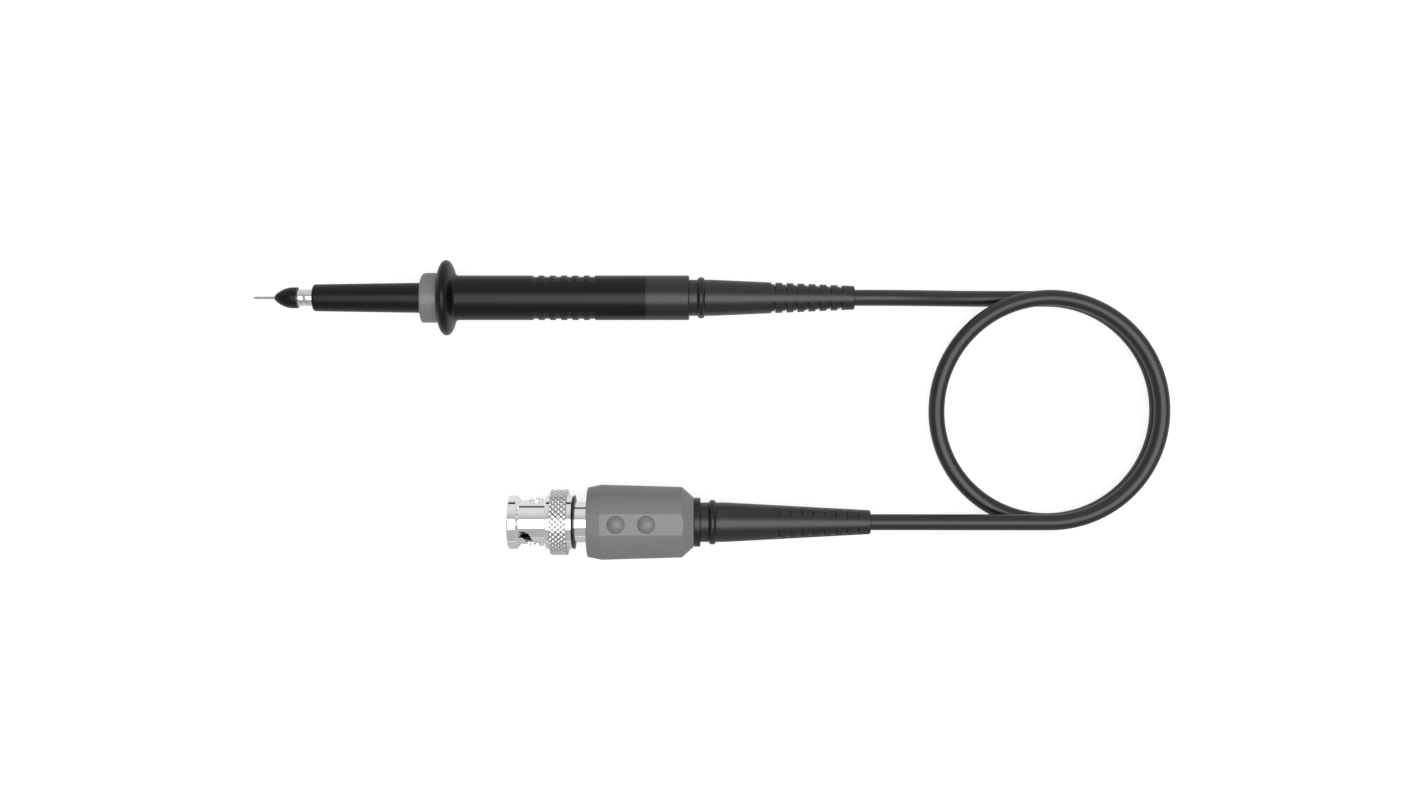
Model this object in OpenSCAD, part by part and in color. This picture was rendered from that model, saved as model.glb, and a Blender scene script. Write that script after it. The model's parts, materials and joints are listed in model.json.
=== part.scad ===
// Passive oscilloscope probe on a coaxial lead that ends in a bayonet plug.
// All sizes are millimetres. +X runs from the needle to the lead and +Z is up.
// The origin is on the bench, under the middle of the hand-held probe.

/* [Contact needle] */
// Diameter of the needle's shank
needle_d = 0.5; // [0.4:0.05:0.7]
// Length of needle that shows in front of the nose cone
needle_out = 5.5; // [4:0.1:8]
// Length of the needle's ground point
needle_point = 0.8; // [0.4:0.1:1.6]
// How far the needle can be pressed in
needle_travel = 1.5; // [0.5:0.1:2.5]
// Length of the needle's guide barrel
barrel_len = 12; // [9:0.5:16]
// Turns of the needle's return spring
spring_turns = 13; // [8:1:15]

/* [Nose] */
// Length of the nose cone
cone_len = 6.2; // [5.5:0.1:8]
// Largest diameter of the nose cone
cone_d = 5.5; // [5:0.1:6.4]
// Length of ground ring that shows behind the cone
ring_len = 3.85; // [3:0.05:6]
// Diameter of the ground ring and its barrel
ring_d = 4.3; // [4:0.1:4.8]
// Distance from the ring's front to its groove
ring_groove_at = 1.65; // [1:0.05:2.5]
// Length of the nose sleeve in front of the collar
sleeve_len = 28.2; // [20:0.1:40]
// Diameter of the nose sleeve at its front
sleeve_front_d = 7; // [6.6:0.1:8]
// Diameter of the nose sleeve at the collar
sleeve_rear_d = 7.85; // [7.6:0.05:9]
// Length of the grey marker collar
collar_len = 4.7; // [3:0.1:8]
// Diameter of the grey marker collar
collar_d = 12.95; // [11:0.05:15]

/* [Handle] */
// Diameter of the finger guard
guard_d = 19.6; // [17:0.2:26]
// Thickness of the finger guard at its foot
guard_t = 4.2; // [3:0.1:6]
// Diameter of the handle
handle_d = 11.6; // [11:0.1:14]
// Length of the handle with its guard
handle_len = 53.8; // [50:0.1:70]
// Wall of the handle
handle_wall = 1.6; // [1.2:0.1:1.8]
// Number of grip grooves on each side
grip_count = 6; // [0:1:8]
// Spacing of the grip grooves
grip_pitch = 2.93; // [2.4:0.01:4]
// Distance from the guard's front to the first grip groove
grip_start = 25.2; // [12:0.1:28]
// Depth of the grip grooves
grip_depth = 0.35; // [0.1:0.05:0.6]
// Length of the rear sleeve
tail_len = 11.2; // [9:0.1:16]

/* [Probe boot] */
// Length of the probe's strain relief behind the rear sleeve
boot_len = 42.9; // [38:0.1:60]
// Diameter of the probe boot's neck
boot_neck_d = 9.4; // [8.4:0.1:9.6]
// Diameter of the probe boot at the lead
boot_end_d = 6.15; // [5.6:0.05:7.5]
// Number of notches down each side of the probe boot
notch_count = 7; // [0:1:9]
// Spacing of the notches
notch_pitch = 2.87; // [2.2:0.01:3.5]
// Depth of the notches
notch_depth = 0.43; // [0.1:0.01:0.6]

/* [Plug boot] */
// Length of the plug's strain relief behind its gland
plug_boot_len = 44.2; // [40:0.1:60]
// Diameter of the plug boot's neck
plug_neck_d = 10.3; // [9.4:0.1:11.5]
// Diameter of the plug boot at the lead
plug_boot_end_d = 6.25; // [5.6:0.05:7.5]
// Number of windows along each edge of the plug boot
window_count = 8; // [0:1:9]
// Spacing of the windows
window_pitch = 2.94; // [2.2:0.01:3.5]
// Depth of the windows
window_depth = 0.35; // [0.1:0.01:0.5]

/* [Compensation box] */
// Diameter of the box at its front end
box_front_d = 18.1; // [17.6:0.1:20]
// Largest diameter of the box, at its parting line
box_d = 19.55; // [19.2:0.05:22]
// Diameter of the box before its rear cone
box_rear_d = 18.35; // [18:0.05:20]
// Length of the front cap
box_front_len = 4.15; // [3.8:0.05:6]
// Length of the box from the parting line to its rear cone
box_len = 20.4; // [20:0.1:30]
// Length of the rear cone
box_tail_len = 3.1; // [3:0.1:5]
// Width of the flat panel on top
panel_w = 5.4; // [5:0.1:8]
// Height of the plug's axis above the flat underside
plug_z = 8.9; // [8.6:0.05:9]
// Radius of the room inside the box
box_room_r = 7.25; // [7.1:0.05:7.4]
// Diameter of the gland ring
gland_d = 12.75; // [12:0.05:13.5]
// Length of gland ring that shows
gland_len = 1.7; // [1.2:0.1:4]
// Diameter of the trimmers' domed covers
cover_d = 4.3; // [3.8:0.1:4.6]
// Height of the domes above the panel
cover_rise = 0.7; // [0.3:0.05:1.2]
// Distance from the parting line to the first trimmer
trimmer_at = 3.6; // [3.4:0.1:4.5]
// Distance between the two trimmers
trimmer_pitch = 7.8; // [7:0.1:9]

/* [Bayonet connector] */
// Length of the coupling nut's front ring
nut_ring_len = 2.2; // [1.6:0.1:3]
// Length of the slotted part of the coupling nut
nut_barrel_len = 7.5; // [7:0.1:10]
// Length of the knurl
knurl_len = 4.85; // [4.6:0.05:6]
// Length of the plain shoulders on both sides of the knurl
shoulder_len = 1; // [0.8:0.1:1.6]
// Diameter of the front ring and the shoulders
nut_ring_d = 13.9; // [13.5:0.1:15]
// Diameter of the slotted part of the coupling nut
nut_barrel_d = 11.3; // [11:0.1:12]
// Diameter of the knurl
knurl_d = 17.3; // [16.8:0.1:19]
// Diameter of the bore in the coupling nut's front ring
nut_bore_d = 9.8; // [9.7:0.1:10]
// How far the coupling nut can be pulled forward against its spring
nut_travel = 0.8; // [0.3:0.1:0.9]
// Outer diameter of the contact sleeve that enters the socket
contact_d = 8.1; // [8:0.05:8.3]
// Diameter of the centre pin
pin_d = 1.37; // [1.2:0.01:1.6]
// Diameter of the connector's neck
neck_d = 10.4; // [10.2:0.1:10.8]
// Length of the connector's neck in front of the box
neck_len = 3; // [2:0.1:5]
// Diameter of the black seal behind the nut
seal_d = 14.2; // [13:0.1:15]
// Thickness of the black seal
seal_t = 0.78; // [0.6:0.02:1.2]

/* [Lead] */
// Diameter of the lead
cord_d = 4.2; // [3.8:0.1:4.6]
// Diameter of the lead's loop at the middle of the lead
loop_d = 58.8; // [54:0.2:64]
// Air between the loop's two layers
loop_gap = 0.5; // [0.45:0.05:1]

/* [Hidden] */
$fn = 64;

// Clearances: radial gap of pieces that are fixed together, of turning or sliding ones,
// and the end gap of a moving piece at its stop
fit = 0.03;
run_gap = 0.05;
stop_gap = 0.05;
// How far a cutting shape runs past the surface that it cuts
past = 1;
// Steps of a turned curve, of the guard's rim and round a drilled hole
curve_steps = 10;
rim_steps = 16;
drill_sides = 32;

// Probe, along X
probe_len = needle_out + cone_len + ring_len + sleeve_len + collar_len
          + handle_len + tail_len + boot_len;
axis_z = guard_d / 2;
x_tip = -probe_len / 2;
x_cone = x_tip + needle_out;
x_ring = x_cone + cone_len;
x_sleeve = x_ring + ring_len;
x_collar = x_sleeve + sleeve_len;
x_guard = x_collar + collar_len;
x_tail = x_guard + handle_len;
x_boot = x_tail + tail_len;
x_end = x_boot + boot_len;

// Needle, its guide barrel and its spring
cone_nose = 2.2;
barrel_lip = 0.6;
barrel_back = 0.8;
barrel_wall = 0.25;
piston_step = 0.3;
piston_len = 1.2;
guide_step = 0.17;
guide_show = 0.1;
needle_hole_r = needle_d / 2 + guide_step + run_gap;
piston_r = needle_d / 2 + piston_step;
barrel_bore_r = piston_r + run_gap;
barrel_r = barrel_bore_r + barrel_wall;
x_barrel = x_cone + cone_nose;
x_piston = x_barrel + barrel_lip + stop_gap;
x_spring = x_piston + piston_len + stop_gap;
stop_rod_r = 0.2;
stop_rod_at = x_piston + piston_len + needle_travel + stop_gap - x_barrel;
spring_wire_d = 0.12;
spring_r = piston_r - spring_wire_d;
spring_steps = 8;
spring_sides = 6;
spring_len = x_barrel + barrel_len - barrel_back - stop_gap - x_spring;
spring_points = [
  for (i = [0 : spring_turns * spring_steps])
    let (a = 360 * i / spring_steps, along = spring_wire_d / 2
      + (spring_len - spring_wire_d) * i / (spring_turns * spring_steps))
    [x_spring + along, spring_r * sin(a), axis_z + spring_r * cos(a)]
];

// Nose
cone_wall = 0.16;
cone_tip_r = needle_hole_r + cone_wall;
ogive_len = 5.2;
ogive_power = 0.87;
spigot_len = 2;
ground_wall = 0.45;
ground_bore_r = ring_d / 2 - ground_wall;
ring_groove_w = 0.4;
ring_groove_depth = 0.15;
sleeve_round = 0.65;
seat_d = 7;
seat_len = 8;
conductor_d = 0.8;
collar_round = 0.35;
collar_soft_round = 1.1;
collar_shift = 0.6;

// Handle and what it holds
guard_rise = 3.65;
guard_fillet = 0.7;
chamber_r = handle_d / 2 - handle_wall;
grip_top_w = 1.6;
grip_floor_w = 1.15;
grip_span = 86;
flange_len = 1.5;
shield_wall = 0.4;
x_flange = x_guard + seat_len;
x_shield = x_flange + flange_len;
tail_spigot_len = 4;
tail_round = 0.4;
board_inset = 1;
board_len = 34;
board_t = 0.8;
board_side_gap = 0.1;
board_w = 2 * (chamber_r - fit - shield_wall - board_side_gap);
x_board = x_shield + board_inset;
resistor_at = 10.2;
resistor_size = [6, 2.4, 0.7];
capacitor_ats = [18.7, 25.5];
capacitor_size = [3.2, 1.8, 1];

// Boots and lead ends
boot_socket_at = 3;
boot_round = 0.35;
boot_bore_r = cord_d / 2 + fit;
boot_ring_at = 3.1;
boot_taper_at = 6;
notch_start = 21.3;
notch_w = 1.15;
notch_span = 138;
marker_w = 2;
marker_bed = 0.2;
marker_rise = 0.68;
ferrule_wall = 0.55;
ferrule_len = 7;
ferrule_air = 0.25;
core_d = 2.6;
core_bare = 1;
wire_d = 0.5;
wire_bare = 0.7;

// Plug, along X, built forward from where the lead enters it
plug_y = -58.4;
xp_end = 82.4;
xp_boot = xp_end - plug_boot_len;
xp_gland = xp_boot - gland_len;
xp_tail = xp_gland - box_tail_len;
xp_box = xp_tail - box_len;
xp_front = xp_box - box_front_len;
seal_gap = 0.17;
xp_seal = xp_front - neck_len - seal_t;
xp_nut_rear = xp_seal - seal_gap;
nut_len = nut_ring_len + nut_barrel_len + knurl_len + 2 * shoulder_len;
xp_nut = xp_nut_rear - nut_len;

// Box
box_edge_round = 0.4;
box_rear_round = 0.8;
box_back_wall = 0.4;
cap_wall = 1.6;
lip_len = 1.2;
lip_wall = 0.65;
lip_bed = 0.45;
gland_stub_r = 4.8;
gland_round = 0.3;
boot_stub_r = 3.9;
plug_ring_at = 3.1;
plug_taper_at = 6.4;
window_start = 19.1;
window_w = 1.5;
window_span = 40;
panel_front = panel_height(box_front_d / 2);
panel_top = panel_height(box_d / 2);
panel_rear = panel_height(box_rear_d / 2);

// Trimmers and the board that carries them
trimmer_xs = [xp_box + trimmer_at, xp_box + trimmer_at + trimmer_pitch];
cover_bed_gap = 0.1;
cover_bed_depth = 0.5;
cover_stem_d = 3.4;
cover_stem_len = 2.4;
trimmer_w = 4.2;
trimmer_h = 2.4;
rotor_d = 3;
rotor_h = 0.9;
rotor_stem_d = 1;
rotor_stem_len = 1.2;
slot_w = 0.5;
can_wall = 0.35;
comp_board_at = 1;
comp_board_len = 14.5;
comp_board_t = 1;
comp_board_w = 2 * (box_room_r - fit - can_wall - board_side_gap);
comp_board_end = xp_box + comp_board_at + comp_board_len;
side_chip_y = 2.2;
side_chip_size = [1.6, 2, 0.6];
choke_size = [3, 3, 1.2];

// Connector
nut_chamfer = 0.3;
knurl_chamfer = 0.35;
nut_step = 0.3;
nut_relief = 0.25;
nut_room_r = 6.3;
ring_bed_r = 7.3;
body_flange_t = 1;
body_flange_r = nut_room_r - run_gap;
body_flange_at = 0.9;
x_body_flange = xp_nut + nut_ring_len + nut_barrel_len + shoulder_len + body_flange_at;
spring_washer_plate = 0.3;
spring_air = 0.2;
spring_room = nut_travel + spring_washer_plate + spring_air;
thrust_t = 0.6;
retain_t = 0.7;
x_thrust = x_body_flange + body_flange_t + spring_room;
x_retain = x_thrust + thrust_t + stop_gap;
washer_air = 0.1;
washer_bore_r = neck_d / 2 + washer_air;
washer_r = nut_room_r - washer_air;
contact_wall = 0.7;
contact_recess = 2.4;
contact_slot_w = 0.6;
contact_slot_len = 4.5;
pin_recess = 3.6;
pin_point = 0.6;
insulator_recess = 8.2;
body_back_bore_r = 2.4;
thread_r = 4.85;
lock_nut_d = 13.6;
lock_nut_t = 2;
lug_slot_w = 2.3;
lug_entry_deg = 28;
lug_end_deg = 72;
lug_run = 2.6;
lug_bend = 0.4;
boss_d = 2;
boss_r = 6.6;

// Lead route: a loop worked out from its size, and a run from each end to the loop
lay_z = cord_d / 2;
upper_z = lay_z + cord_d + loop_gap;
loop_x = 129.7;
loop_y = -29.2;
loop_turns = 1.5;
loop_rings = 24;
climb_start = 210;
climb_end = 330;
loop_sides = 6;
run_sides = 8;
run_steps = 6;
loop_start = [loop_x - cord_d, loop_y + loop_d / 2, lay_z];
loop_stop = [loop_x - cord_d, loop_y - loop_d / 2, upper_z];
probe_run_points = run_points([x_end, 0, axis_z], loop_start);
plug_run_points = run_points([xp_end, plug_y, plug_z], loop_stop);
loop_points = concat(
  [loop_start],
  [for (i = [0 : loop_turns * loop_rings]) loop_point(360 * i / loop_rings)],
  [loop_stop]
);

// Height of the flat panel where the round box has this radius
function panel_height(r) = sqrt(r * r - panel_w * panel_w / 4);

// A smooth rise from 0 to 1
function ease(t) = t <= 0 ? 0 : t >= 1 ? 1 : t * t * (3 - 2 * t);

// A run of lead between two points: straight at both ends, and eased up or down between
function run_points(from, to) =
  let (start = from + [cord_d, 0, 0], stop = to - [2 * cord_d, 0, 0])
  concat([from], [for (i = [0 : run_steps])
    let (t = i / run_steps, e = ease(t))
    [start[0] + (stop[0] - start[0]) * t,
     start[1] + (stop[1] - start[1]) * e,
     start[2] + (stop[2] - start[2]) * e]], [to]);

// A point of the loop, clockwise seen from above, starting at its far side
function loop_point(a) = [
  loop_x + loop_d / 2 * sin(a),
  loop_y + loop_d / 2 * cos(a),
  lay_z + (upper_z - lay_z) * ease((a - climb_start) / (climb_end - climb_start))
];

// Points of an arc about a centre
function arc(centre, r, from, to, steps = 6) = [
  for (i = [0 : steps])
    let (a = from + (to - from) * i / steps)
    centre + r * [cos(a), sin(a)]
];

// Least air between parts of one tube that are at least some rings apart
function least_gap(points, apart, d) = min([
  for (i = [0 : len(points) - 1 - apart], j = [i + apart : len(points) - 1])
    norm(points[i] - points[j])
]) - d;

function unit(v) = v / norm(v);

// Direction of a route at one of its points: the ends take their own stretch
function heading(p, i) = unit(p[min(i + 1, len(p) - 1)] - p[max(i - 1, 0)]);

// Cross-section of a tube at a point of its route
function tube_ring(p, i, r, sides, up) =
  let (t = heading(p, i), side = unit(cross(t, up)), over = cross(side, t))
  [for (k = [0 : sides - 1])
    let (a = 360 * k / sides - 90)
    p[i] + r * (cos(a) * side + sin(a) * over)];

// One unbroken tube along a route
module tube(p, r, sides, up = [0, 0, 1]) {
  n = len(p);
  points = [for (i = [0 : n - 1]) each tube_ring(p, i, r, sides, up)];
  walls = [for (i = [0 : n - 2], k = [0 : sides - 1])
    let (a = i * sides + k, b = i * sides + (k + 1) % sides)
    each [[a, b, a + sides], [b, b + sides, a + sides]]];
  front = [for (k = [1 : sides - 2]) [0, k + 1, k]];
  back = [for (k = [1 : sides - 2]) (n - 1) * sides * [1, 1, 1] + [0, k, k + 1]];
  polyhedron(points, concat(walls, front, back));
}

// Places a turned piece, drawn as radius and length, on the probe's axis
module on_probe(x) {
  translate([x, 0, axis_z]) rotate([0, 90, 0]) children();
}

// Places a turned piece on the plug's axis
module on_plug(x) {
  translate([x, plug_y, plug_z]) rotate([0, 90, 0]) children();
}

module turned(points) {
  rotate_extrude() polygon(points);
}

// A plain turned tube or ring
module ring(outer_r, inner_r, length) {
  turned([[inner_r, 0], [outer_r, 0], [outer_r, length], [inner_r, length]]);
}

// Part of a turned groove, this wide in degrees. Seen along the lead, 0 is down and 90 is +Y
module arc_cut(points, middle, span) {
  rotate([0, 0, middle - span / 2]) rotate_extrude(angle = span) polygon(points);
}

// Echoed so that a change of size shows whether the wound tubes still clear themselves
echo(str("least gap of the lead's loop to itself: ",
  least_gap(loop_points, loop_rings / 2, cord_d), " mm"));
echo(str("least gap of the needle spring to itself: ",
  least_gap(spring_points, spring_steps, spring_wire_d), " mm"));

// Contact needle: a ground point on a bare shank, a thicker guide shank that runs in the barrel,
// and a piston that the spring pushes
module contact_needle() {
  shank = x_piston - x_tip;
  bare = needle_out - guide_show;
  r = needle_d / 2;
  guide_r = r + guide_step;
  color("silver") on_probe(x_tip) turned([
    [0, 0], [r, needle_point], [r, bare], [guide_r, bare], [guide_r, shank],
    [piston_r, shank], [piston_r, shank + piston_len], [0, shank + piston_len]
  ]);
}

// Return spring, a helix round the needle's axis
module needle_spring() {
  color("lightgrey") tube(spring_points, spring_wire_d / 2, spring_sides, [1, 0, 0]);
}

// Guide barrel: a thin cup with a hole for the needle in its front lip, and a rod inside the
// spring that stops the piston at the end of its travel
module tip_barrel() {
  back = barrel_len - barrel_back;
  color("goldenrod") on_probe(x_barrel) turned([
    [needle_hole_r, 0], [barrel_r, 0], [barrel_r, barrel_len], [0, barrel_len],
    [0, stop_rod_at], [stop_rod_r, stop_rod_at], [stop_rod_r, back],
    [barrel_bore_r, back], [barrel_bore_r, barrel_lip], [needle_hole_r, barrel_lip]
  ]);
}

// Nose cone: an ogive with a spigot that plugs into the ground barrel
module nose_cone() {
  bore = barrel_r + fit;
  spigot_r = ground_bore_r - fit;
  curve = [for (i = [0 : curve_steps])
    let (t = i / curve_steps, full = 1 - (1 - t) * (1 - t))
    [cone_tip_r + (cone_d / 2 - cone_tip_r) * pow(full, ogive_power), ogive_len * t]];
  color([0.1, 0.1, 0.1]) on_probe(x_cone) turned(concat(curve, [
    [cone_d / 2, cone_len], [spigot_r, cone_len], [spigot_r, cone_len + spigot_len],
    [bore, cone_len + spigot_len], [bore, cone_nose],
    [needle_hole_r, cone_nose], [needle_hole_r, 0]
  ]));
}

// White insulator that carries the guide barrel and the conductor inside the ground barrel
module tip_insulator() {
  start = x_ring + spigot_len;
  step = x_barrel + barrel_len - start;
  length = x_shield - start;
  color("white") on_probe(start) turned([
    [barrel_r + fit, 0], [ground_bore_r - fit, 0], [ground_bore_r - fit, length],
    [conductor_d / 2 + fit, length], [conductor_d / 2 + fit, step], [barrel_r + fit, step]
  ]);
}

// Rod from the guide barrel to the attenuator board
module nose_conductor() {
  start = x_barrel + barrel_len;
  color("goldenrod") on_probe(start) cylinder(r = conductor_d / 2, h = x_board - start);
}

// Ground barrel: its front shows as the bright ring, its flange seats in the handle
module ground_barrel() {
  r = ring_d / 2;
  length = x_shield - x_ring;
  g = ring_groove_w / 2;
  color("silver") on_probe(x_ring) turned([
    [ground_bore_r, 0], [r, 0],
    [r, ring_groove_at - g], [r - ring_groove_depth, ring_groove_at],
    [r, ring_groove_at + g],
    [r, length - flange_len], [chamber_r - fit, length - flange_len],
    [chamber_r - fit, length], [ground_bore_r, length]
  ]);
}

// Nose sleeve: a slightly tapered tube whose rear end seats under the collar and in the handle
module nose_sleeve() {
  front_r = sleeve_front_d / 2;
  bore = ring_d / 2 + fit;
  seat_r = seat_d / 2 - fit;
  length = sleeve_len + collar_len + seat_len;
  edge = arc([front_r - sleeve_round, sleeve_round], sleeve_round, -90, 0);
  color([0.1, 0.1, 0.1]) on_probe(x_sleeve) turned(concat([[bore, 0]], edge, [
    [sleeve_rear_d / 2, sleeve_len], [seat_r, sleeve_len], [seat_r, length], [bore, length]
  ]));
}

// Outline of the collar with its front edge rounded
module collar_blank(r, edge) {
  turned(concat(
    [[seat_d / 2, 0]],
    arc([r - edge, edge], edge, -90, 0),
    [[r, collar_len], [seat_d / 2, collar_len]]
  ));
}

// Marker collar: its front edge is rounded more on the +Y side, by a second, shifted rounding
module marker_collar() {
  color([0.52, 0.52, 0.52]) on_probe(x_collar) difference() {
    intersection() {
      collar_blank(collar_d / 2, collar_round);
      translate([0, -collar_shift, -fit])
        cylinder_with_soft_edge(collar_d / 2 + collar_shift + fit);
    }
    translate([0, 0, -past]) cylinder(d = seat_d, h = collar_len + 2 * past);
  }
}

// A solid drum with a well rounded front edge
module cylinder_with_soft_edge(r) {
  turned(concat(
    [[0, 0]],
    arc([r - collar_soft_round, collar_soft_round], collar_soft_round, -90, 0),
    [[r, collar_len + past], [0, collar_len + past]]
  ));
}

// Handle with its finger guard, bored for the nose sleeve and hollow behind it
module handle() {
  r = handle_d / 2;
  mid = guard_t / 2;
  foot = guard_d / 2 - guard_rise;
  rim = [for (i = [0 : rim_steps])
    let (a = 180 - 180 * i / rim_steps)
    [foot + guard_rise * sin(a), mid + mid * cos(a)]];
  fillet = arc([r + guard_fillet, guard_t + guard_fillet], guard_fillet, 270, 180);
  seat = seat_d / 2;
  f = grip_floor_w / 2;
  flare = (grip_top_w - grip_floor_w) / 2 / grip_depth;
  g = grip_top_w / 2 + past * flare;
  color([0.12, 0.12, 0.12]) on_probe(x_guard) difference() {
    turned(concat([[seat, 0]], rim, [[r + guard_fillet, guard_t]], fillet, [
      [r, handle_len], [chamber_r, handle_len], [chamber_r, seat_len], [seat, seat_len]
    ]));
    for (i = [0 : 1 : grip_count - 1], side = [90, 270])
      translate([0, 0, grip_start + i * grip_pitch]) arc_cut([
        [r - grip_depth, -f], [r + past, -g], [r + past, g], [r - grip_depth, f]
      ], side, grip_span);
  }
}

// Brass tube that screens the attenuator inside the handle
module shield_tube() {
  color("goldenrod") on_probe(x_shield)
    ring(chamber_r - fit, chamber_r - fit - shield_wall, x_tail - tail_spigot_len - x_shield);
}

// Attenuator board, edge on to the conductor
module attenuator_board() {
  color("ivory") translate([x_board, -board_w / 2, axis_z - board_t / 2])
    cube([board_len, board_w, board_t]);
}

// A chip part soldered flat on a board
module chip(x, y, z, size) {
  translate([x - size[0] / 2, y - size[1] / 2, z]) cube(size);
}

module divider_resistor() {
  color([0.15, 0.15, 0.18])
    chip(x_board + resistor_at, 0, axis_z + board_t / 2, resistor_size);
}

module divider_capacitor() {
  color("tan") for (at = capacitor_ats)
    chip(x_board + at, 0, axis_z + board_t / 2, capacitor_size);
}

// Rear sleeve: closes the handle with its spigot and holds the boot in its socket
module tail_sleeve() {
  r = handle_d / 2;
  socket_r = boot_neck_d / 2;
  way_r = cord_d / 2 + fit + ferrule_wall + ferrule_air;
  s = tail_spigot_len;
  edge = arc([r - tail_round, s + tail_len - tail_round], tail_round, 0, 90);
  color([0.2, 0.2, 0.2]) on_probe(x_tail - s) turned(concat([
    [way_r, 0], [chamber_r - fit, 0], [chamber_r - fit, s], [r, s]
  ], edge, [
    [socket_r, s + tail_len], [socket_r, s + boot_socket_at], [way_r, s + boot_socket_at]
  ]));
}

module probe_ferrule() {
  color("silver") on_probe(x_tail + boot_socket_at - ferrule_len)
    ring(boot_bore_r + ferrule_wall, boot_bore_r, ferrule_len);
}

// Stripped lead inside the probe: wire, core and jacket
module probe_cable_end() {
  x_wire = x_board + board_len;
  x_jacket = x_tail + boot_socket_at - ferrule_len;
  color([0.2, 0.2, 0.2]) on_probe(x_wire)
    lead_end(x_jacket - x_wire, x_end - x_wire);
}

// A lead cut back in steps, from its bare wire to the full jacket
module lead_end(jacket_at, length) {
  core_at = jacket_at - core_bare;
  turned([
    [0, 0], [wire_d / 2, 0], [wire_d / 2, core_at], [core_d / 2, core_at],
    [core_d / 2, jacket_at], [cord_d / 2, jacket_at], [cord_d / 2, length], [0, length]
  ]);
}

// Outline of a strain relief: neck with a bed for its marker ring, then a long taper
function boot_outline(neck_r, end_r, ring_at, taper_at, length) = concat(
  [
    [neck_r, ring_at - marker_w / 2], [neck_r - marker_bed, ring_at - marker_w / 2],
    [neck_r - marker_bed, ring_at + marker_w / 2], [neck_r, ring_at + marker_w / 2],
    [neck_r, taper_at]
  ],
  arc([end_r - boot_round, length - boot_round], boot_round, 0, 90),
  [[boot_bore_r, length]]
);

// Radius of a boot at a distance from its neck
function boot_r_at(at, neck_r, end_r, taper_at, length) =
  neck_r + (end_r - neck_r) * (at - taper_at) / (length - taper_at);

// Cuts a row of shallow pockets, each this wide in degrees, down a boot's taper
module boot_pockets(count, start, pitch, width, depth, middles, span, neck_r, end_r,
                    taper_at, length) {
  for (i = [0 : 1 : count - 1], middle = middles) {
    at = start + i * pitch;
    floor_r = boot_r_at(at + width / 2, neck_r, end_r, taper_at, length) - depth;
    arc_cut([[floor_r, at], [neck_r + past, at], [neck_r + past, at + width],
      [floor_r, at + width]], middle, span);
  }
}

// Probe boot: notched down both sides, with a spine left whole on top and underneath
module probe_boot() {
  neck_r = boot_neck_d / 2;
  head = tail_len - boot_socket_at;
  color([0.2, 0.2, 0.2]) on_probe(x_boot) difference() {
    turned(concat(
      [[boot_bore_r, -head], [neck_r - fit, -head], [neck_r - fit, 0], [neck_r, 0]],
      boot_outline(neck_r, boot_end_d / 2, boot_ring_at, boot_taper_at, boot_len)
    ));
    boot_pockets(notch_count, notch_start, notch_pitch, notch_w, notch_depth, [90, 270],
      notch_span, neck_r, boot_end_d / 2, boot_taper_at, boot_len);
  }
}

// Marker ring: a round bead on a boot's neck
module marker_ring(neck_r) {
  bed_r = neck_r - marker_bed + fit;
  half_w = marker_w / 2 - fit;
  bead_r = (marker_rise * marker_rise + half_w * half_w) / (2 * marker_rise);
  peak_r = neck_r + marker_rise;
  half_angle = asin(min(1, half_w / bead_r));
  turned(concat(
    [[bed_r, half_w], [bed_r, -half_w]],
    arc([peak_r - bead_r, 0], bead_r, -half_angle, half_angle, curve_steps)
  ));
}

module probe_marker_ring() {
  color([0.14, 0.14, 0.14]) on_probe(x_boot + boot_ring_at) marker_ring(boot_neck_d / 2);
}

// Free lead: down from the probe's boot to the bench
module cable_probe_run() {
  color([0.2, 0.2, 0.2]) tube(probe_run_points, cord_d / 2, run_sides);
}

// Free lead: one and a half turns, the second half turn on top of the first
module cable_loop() {
  color([0.2, 0.2, 0.2]) tube(loop_points, cord_d / 2, loop_sides);
}

// Free lead: from the loop's upper layer to the plug's boot
module cable_plug_run() {
  color([0.2, 0.2, 0.2]) tube(plug_run_points, cord_d / 2, run_sides);
}

// Plug boot: a stub through the gland, and windows along four edges of the taper
module plug_boot() {
  neck_r = plug_neck_d / 2;
  head = gland_len + box_tail_len;
  color([0.2, 0.2, 0.2]) on_plug(xp_boot) difference() {
    turned(concat(
      [[boot_bore_r, -head], [boot_stub_r, -head], [boot_stub_r, 0], [neck_r, 0]],
      boot_outline(neck_r, plug_boot_end_d / 2, plug_ring_at, plug_taper_at, plug_boot_len)
    ));
    boot_pockets(window_count, window_start, window_pitch, window_w, window_depth,
      [45, 135, 225, 315], window_span, neck_r, plug_boot_end_d / 2, plug_taper_at,
      plug_boot_len);
  }
}

module plug_marker_ring() {
  color([0.14, 0.14, 0.14]) on_plug(xp_boot + plug_ring_at) marker_ring(plug_neck_d / 2);
}

// Stripped lead inside the plug
module plug_cable_end() {
  color([0.2, 0.2, 0.2]) on_plug(comp_board_end)
    lead_end(wire_bare + core_bare, xp_end - comp_board_end);
}

// Crimp ferrule between the board and the boot
module plug_ferrule() {
  start = comp_board_end + wire_bare + core_bare;
  color("silver") on_plug(start)
    ring(boot_bore_r + ferrule_wall, boot_bore_r, xp_tail - start);
}

// Gland ring: screws into the box and grips the boot's stub
module gland_ring() {
  r = gland_d / 2;
  s = box_tail_len;
  bore = boot_stub_r + fit;
  color([0.14, 0.14, 0.14]) on_plug(xp_tail) turned(concat(
    [[bore, 0], [gland_stub_r - fit, 0], [gland_stub_r - fit, s]],
    arc([r - gland_round, s + gland_round], gland_round, -90, 0),
    arc([r - gland_round, s + gland_len - gland_round], gland_round, 0, 90),
    [[bore, s + gland_len]]
  ));
}

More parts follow.
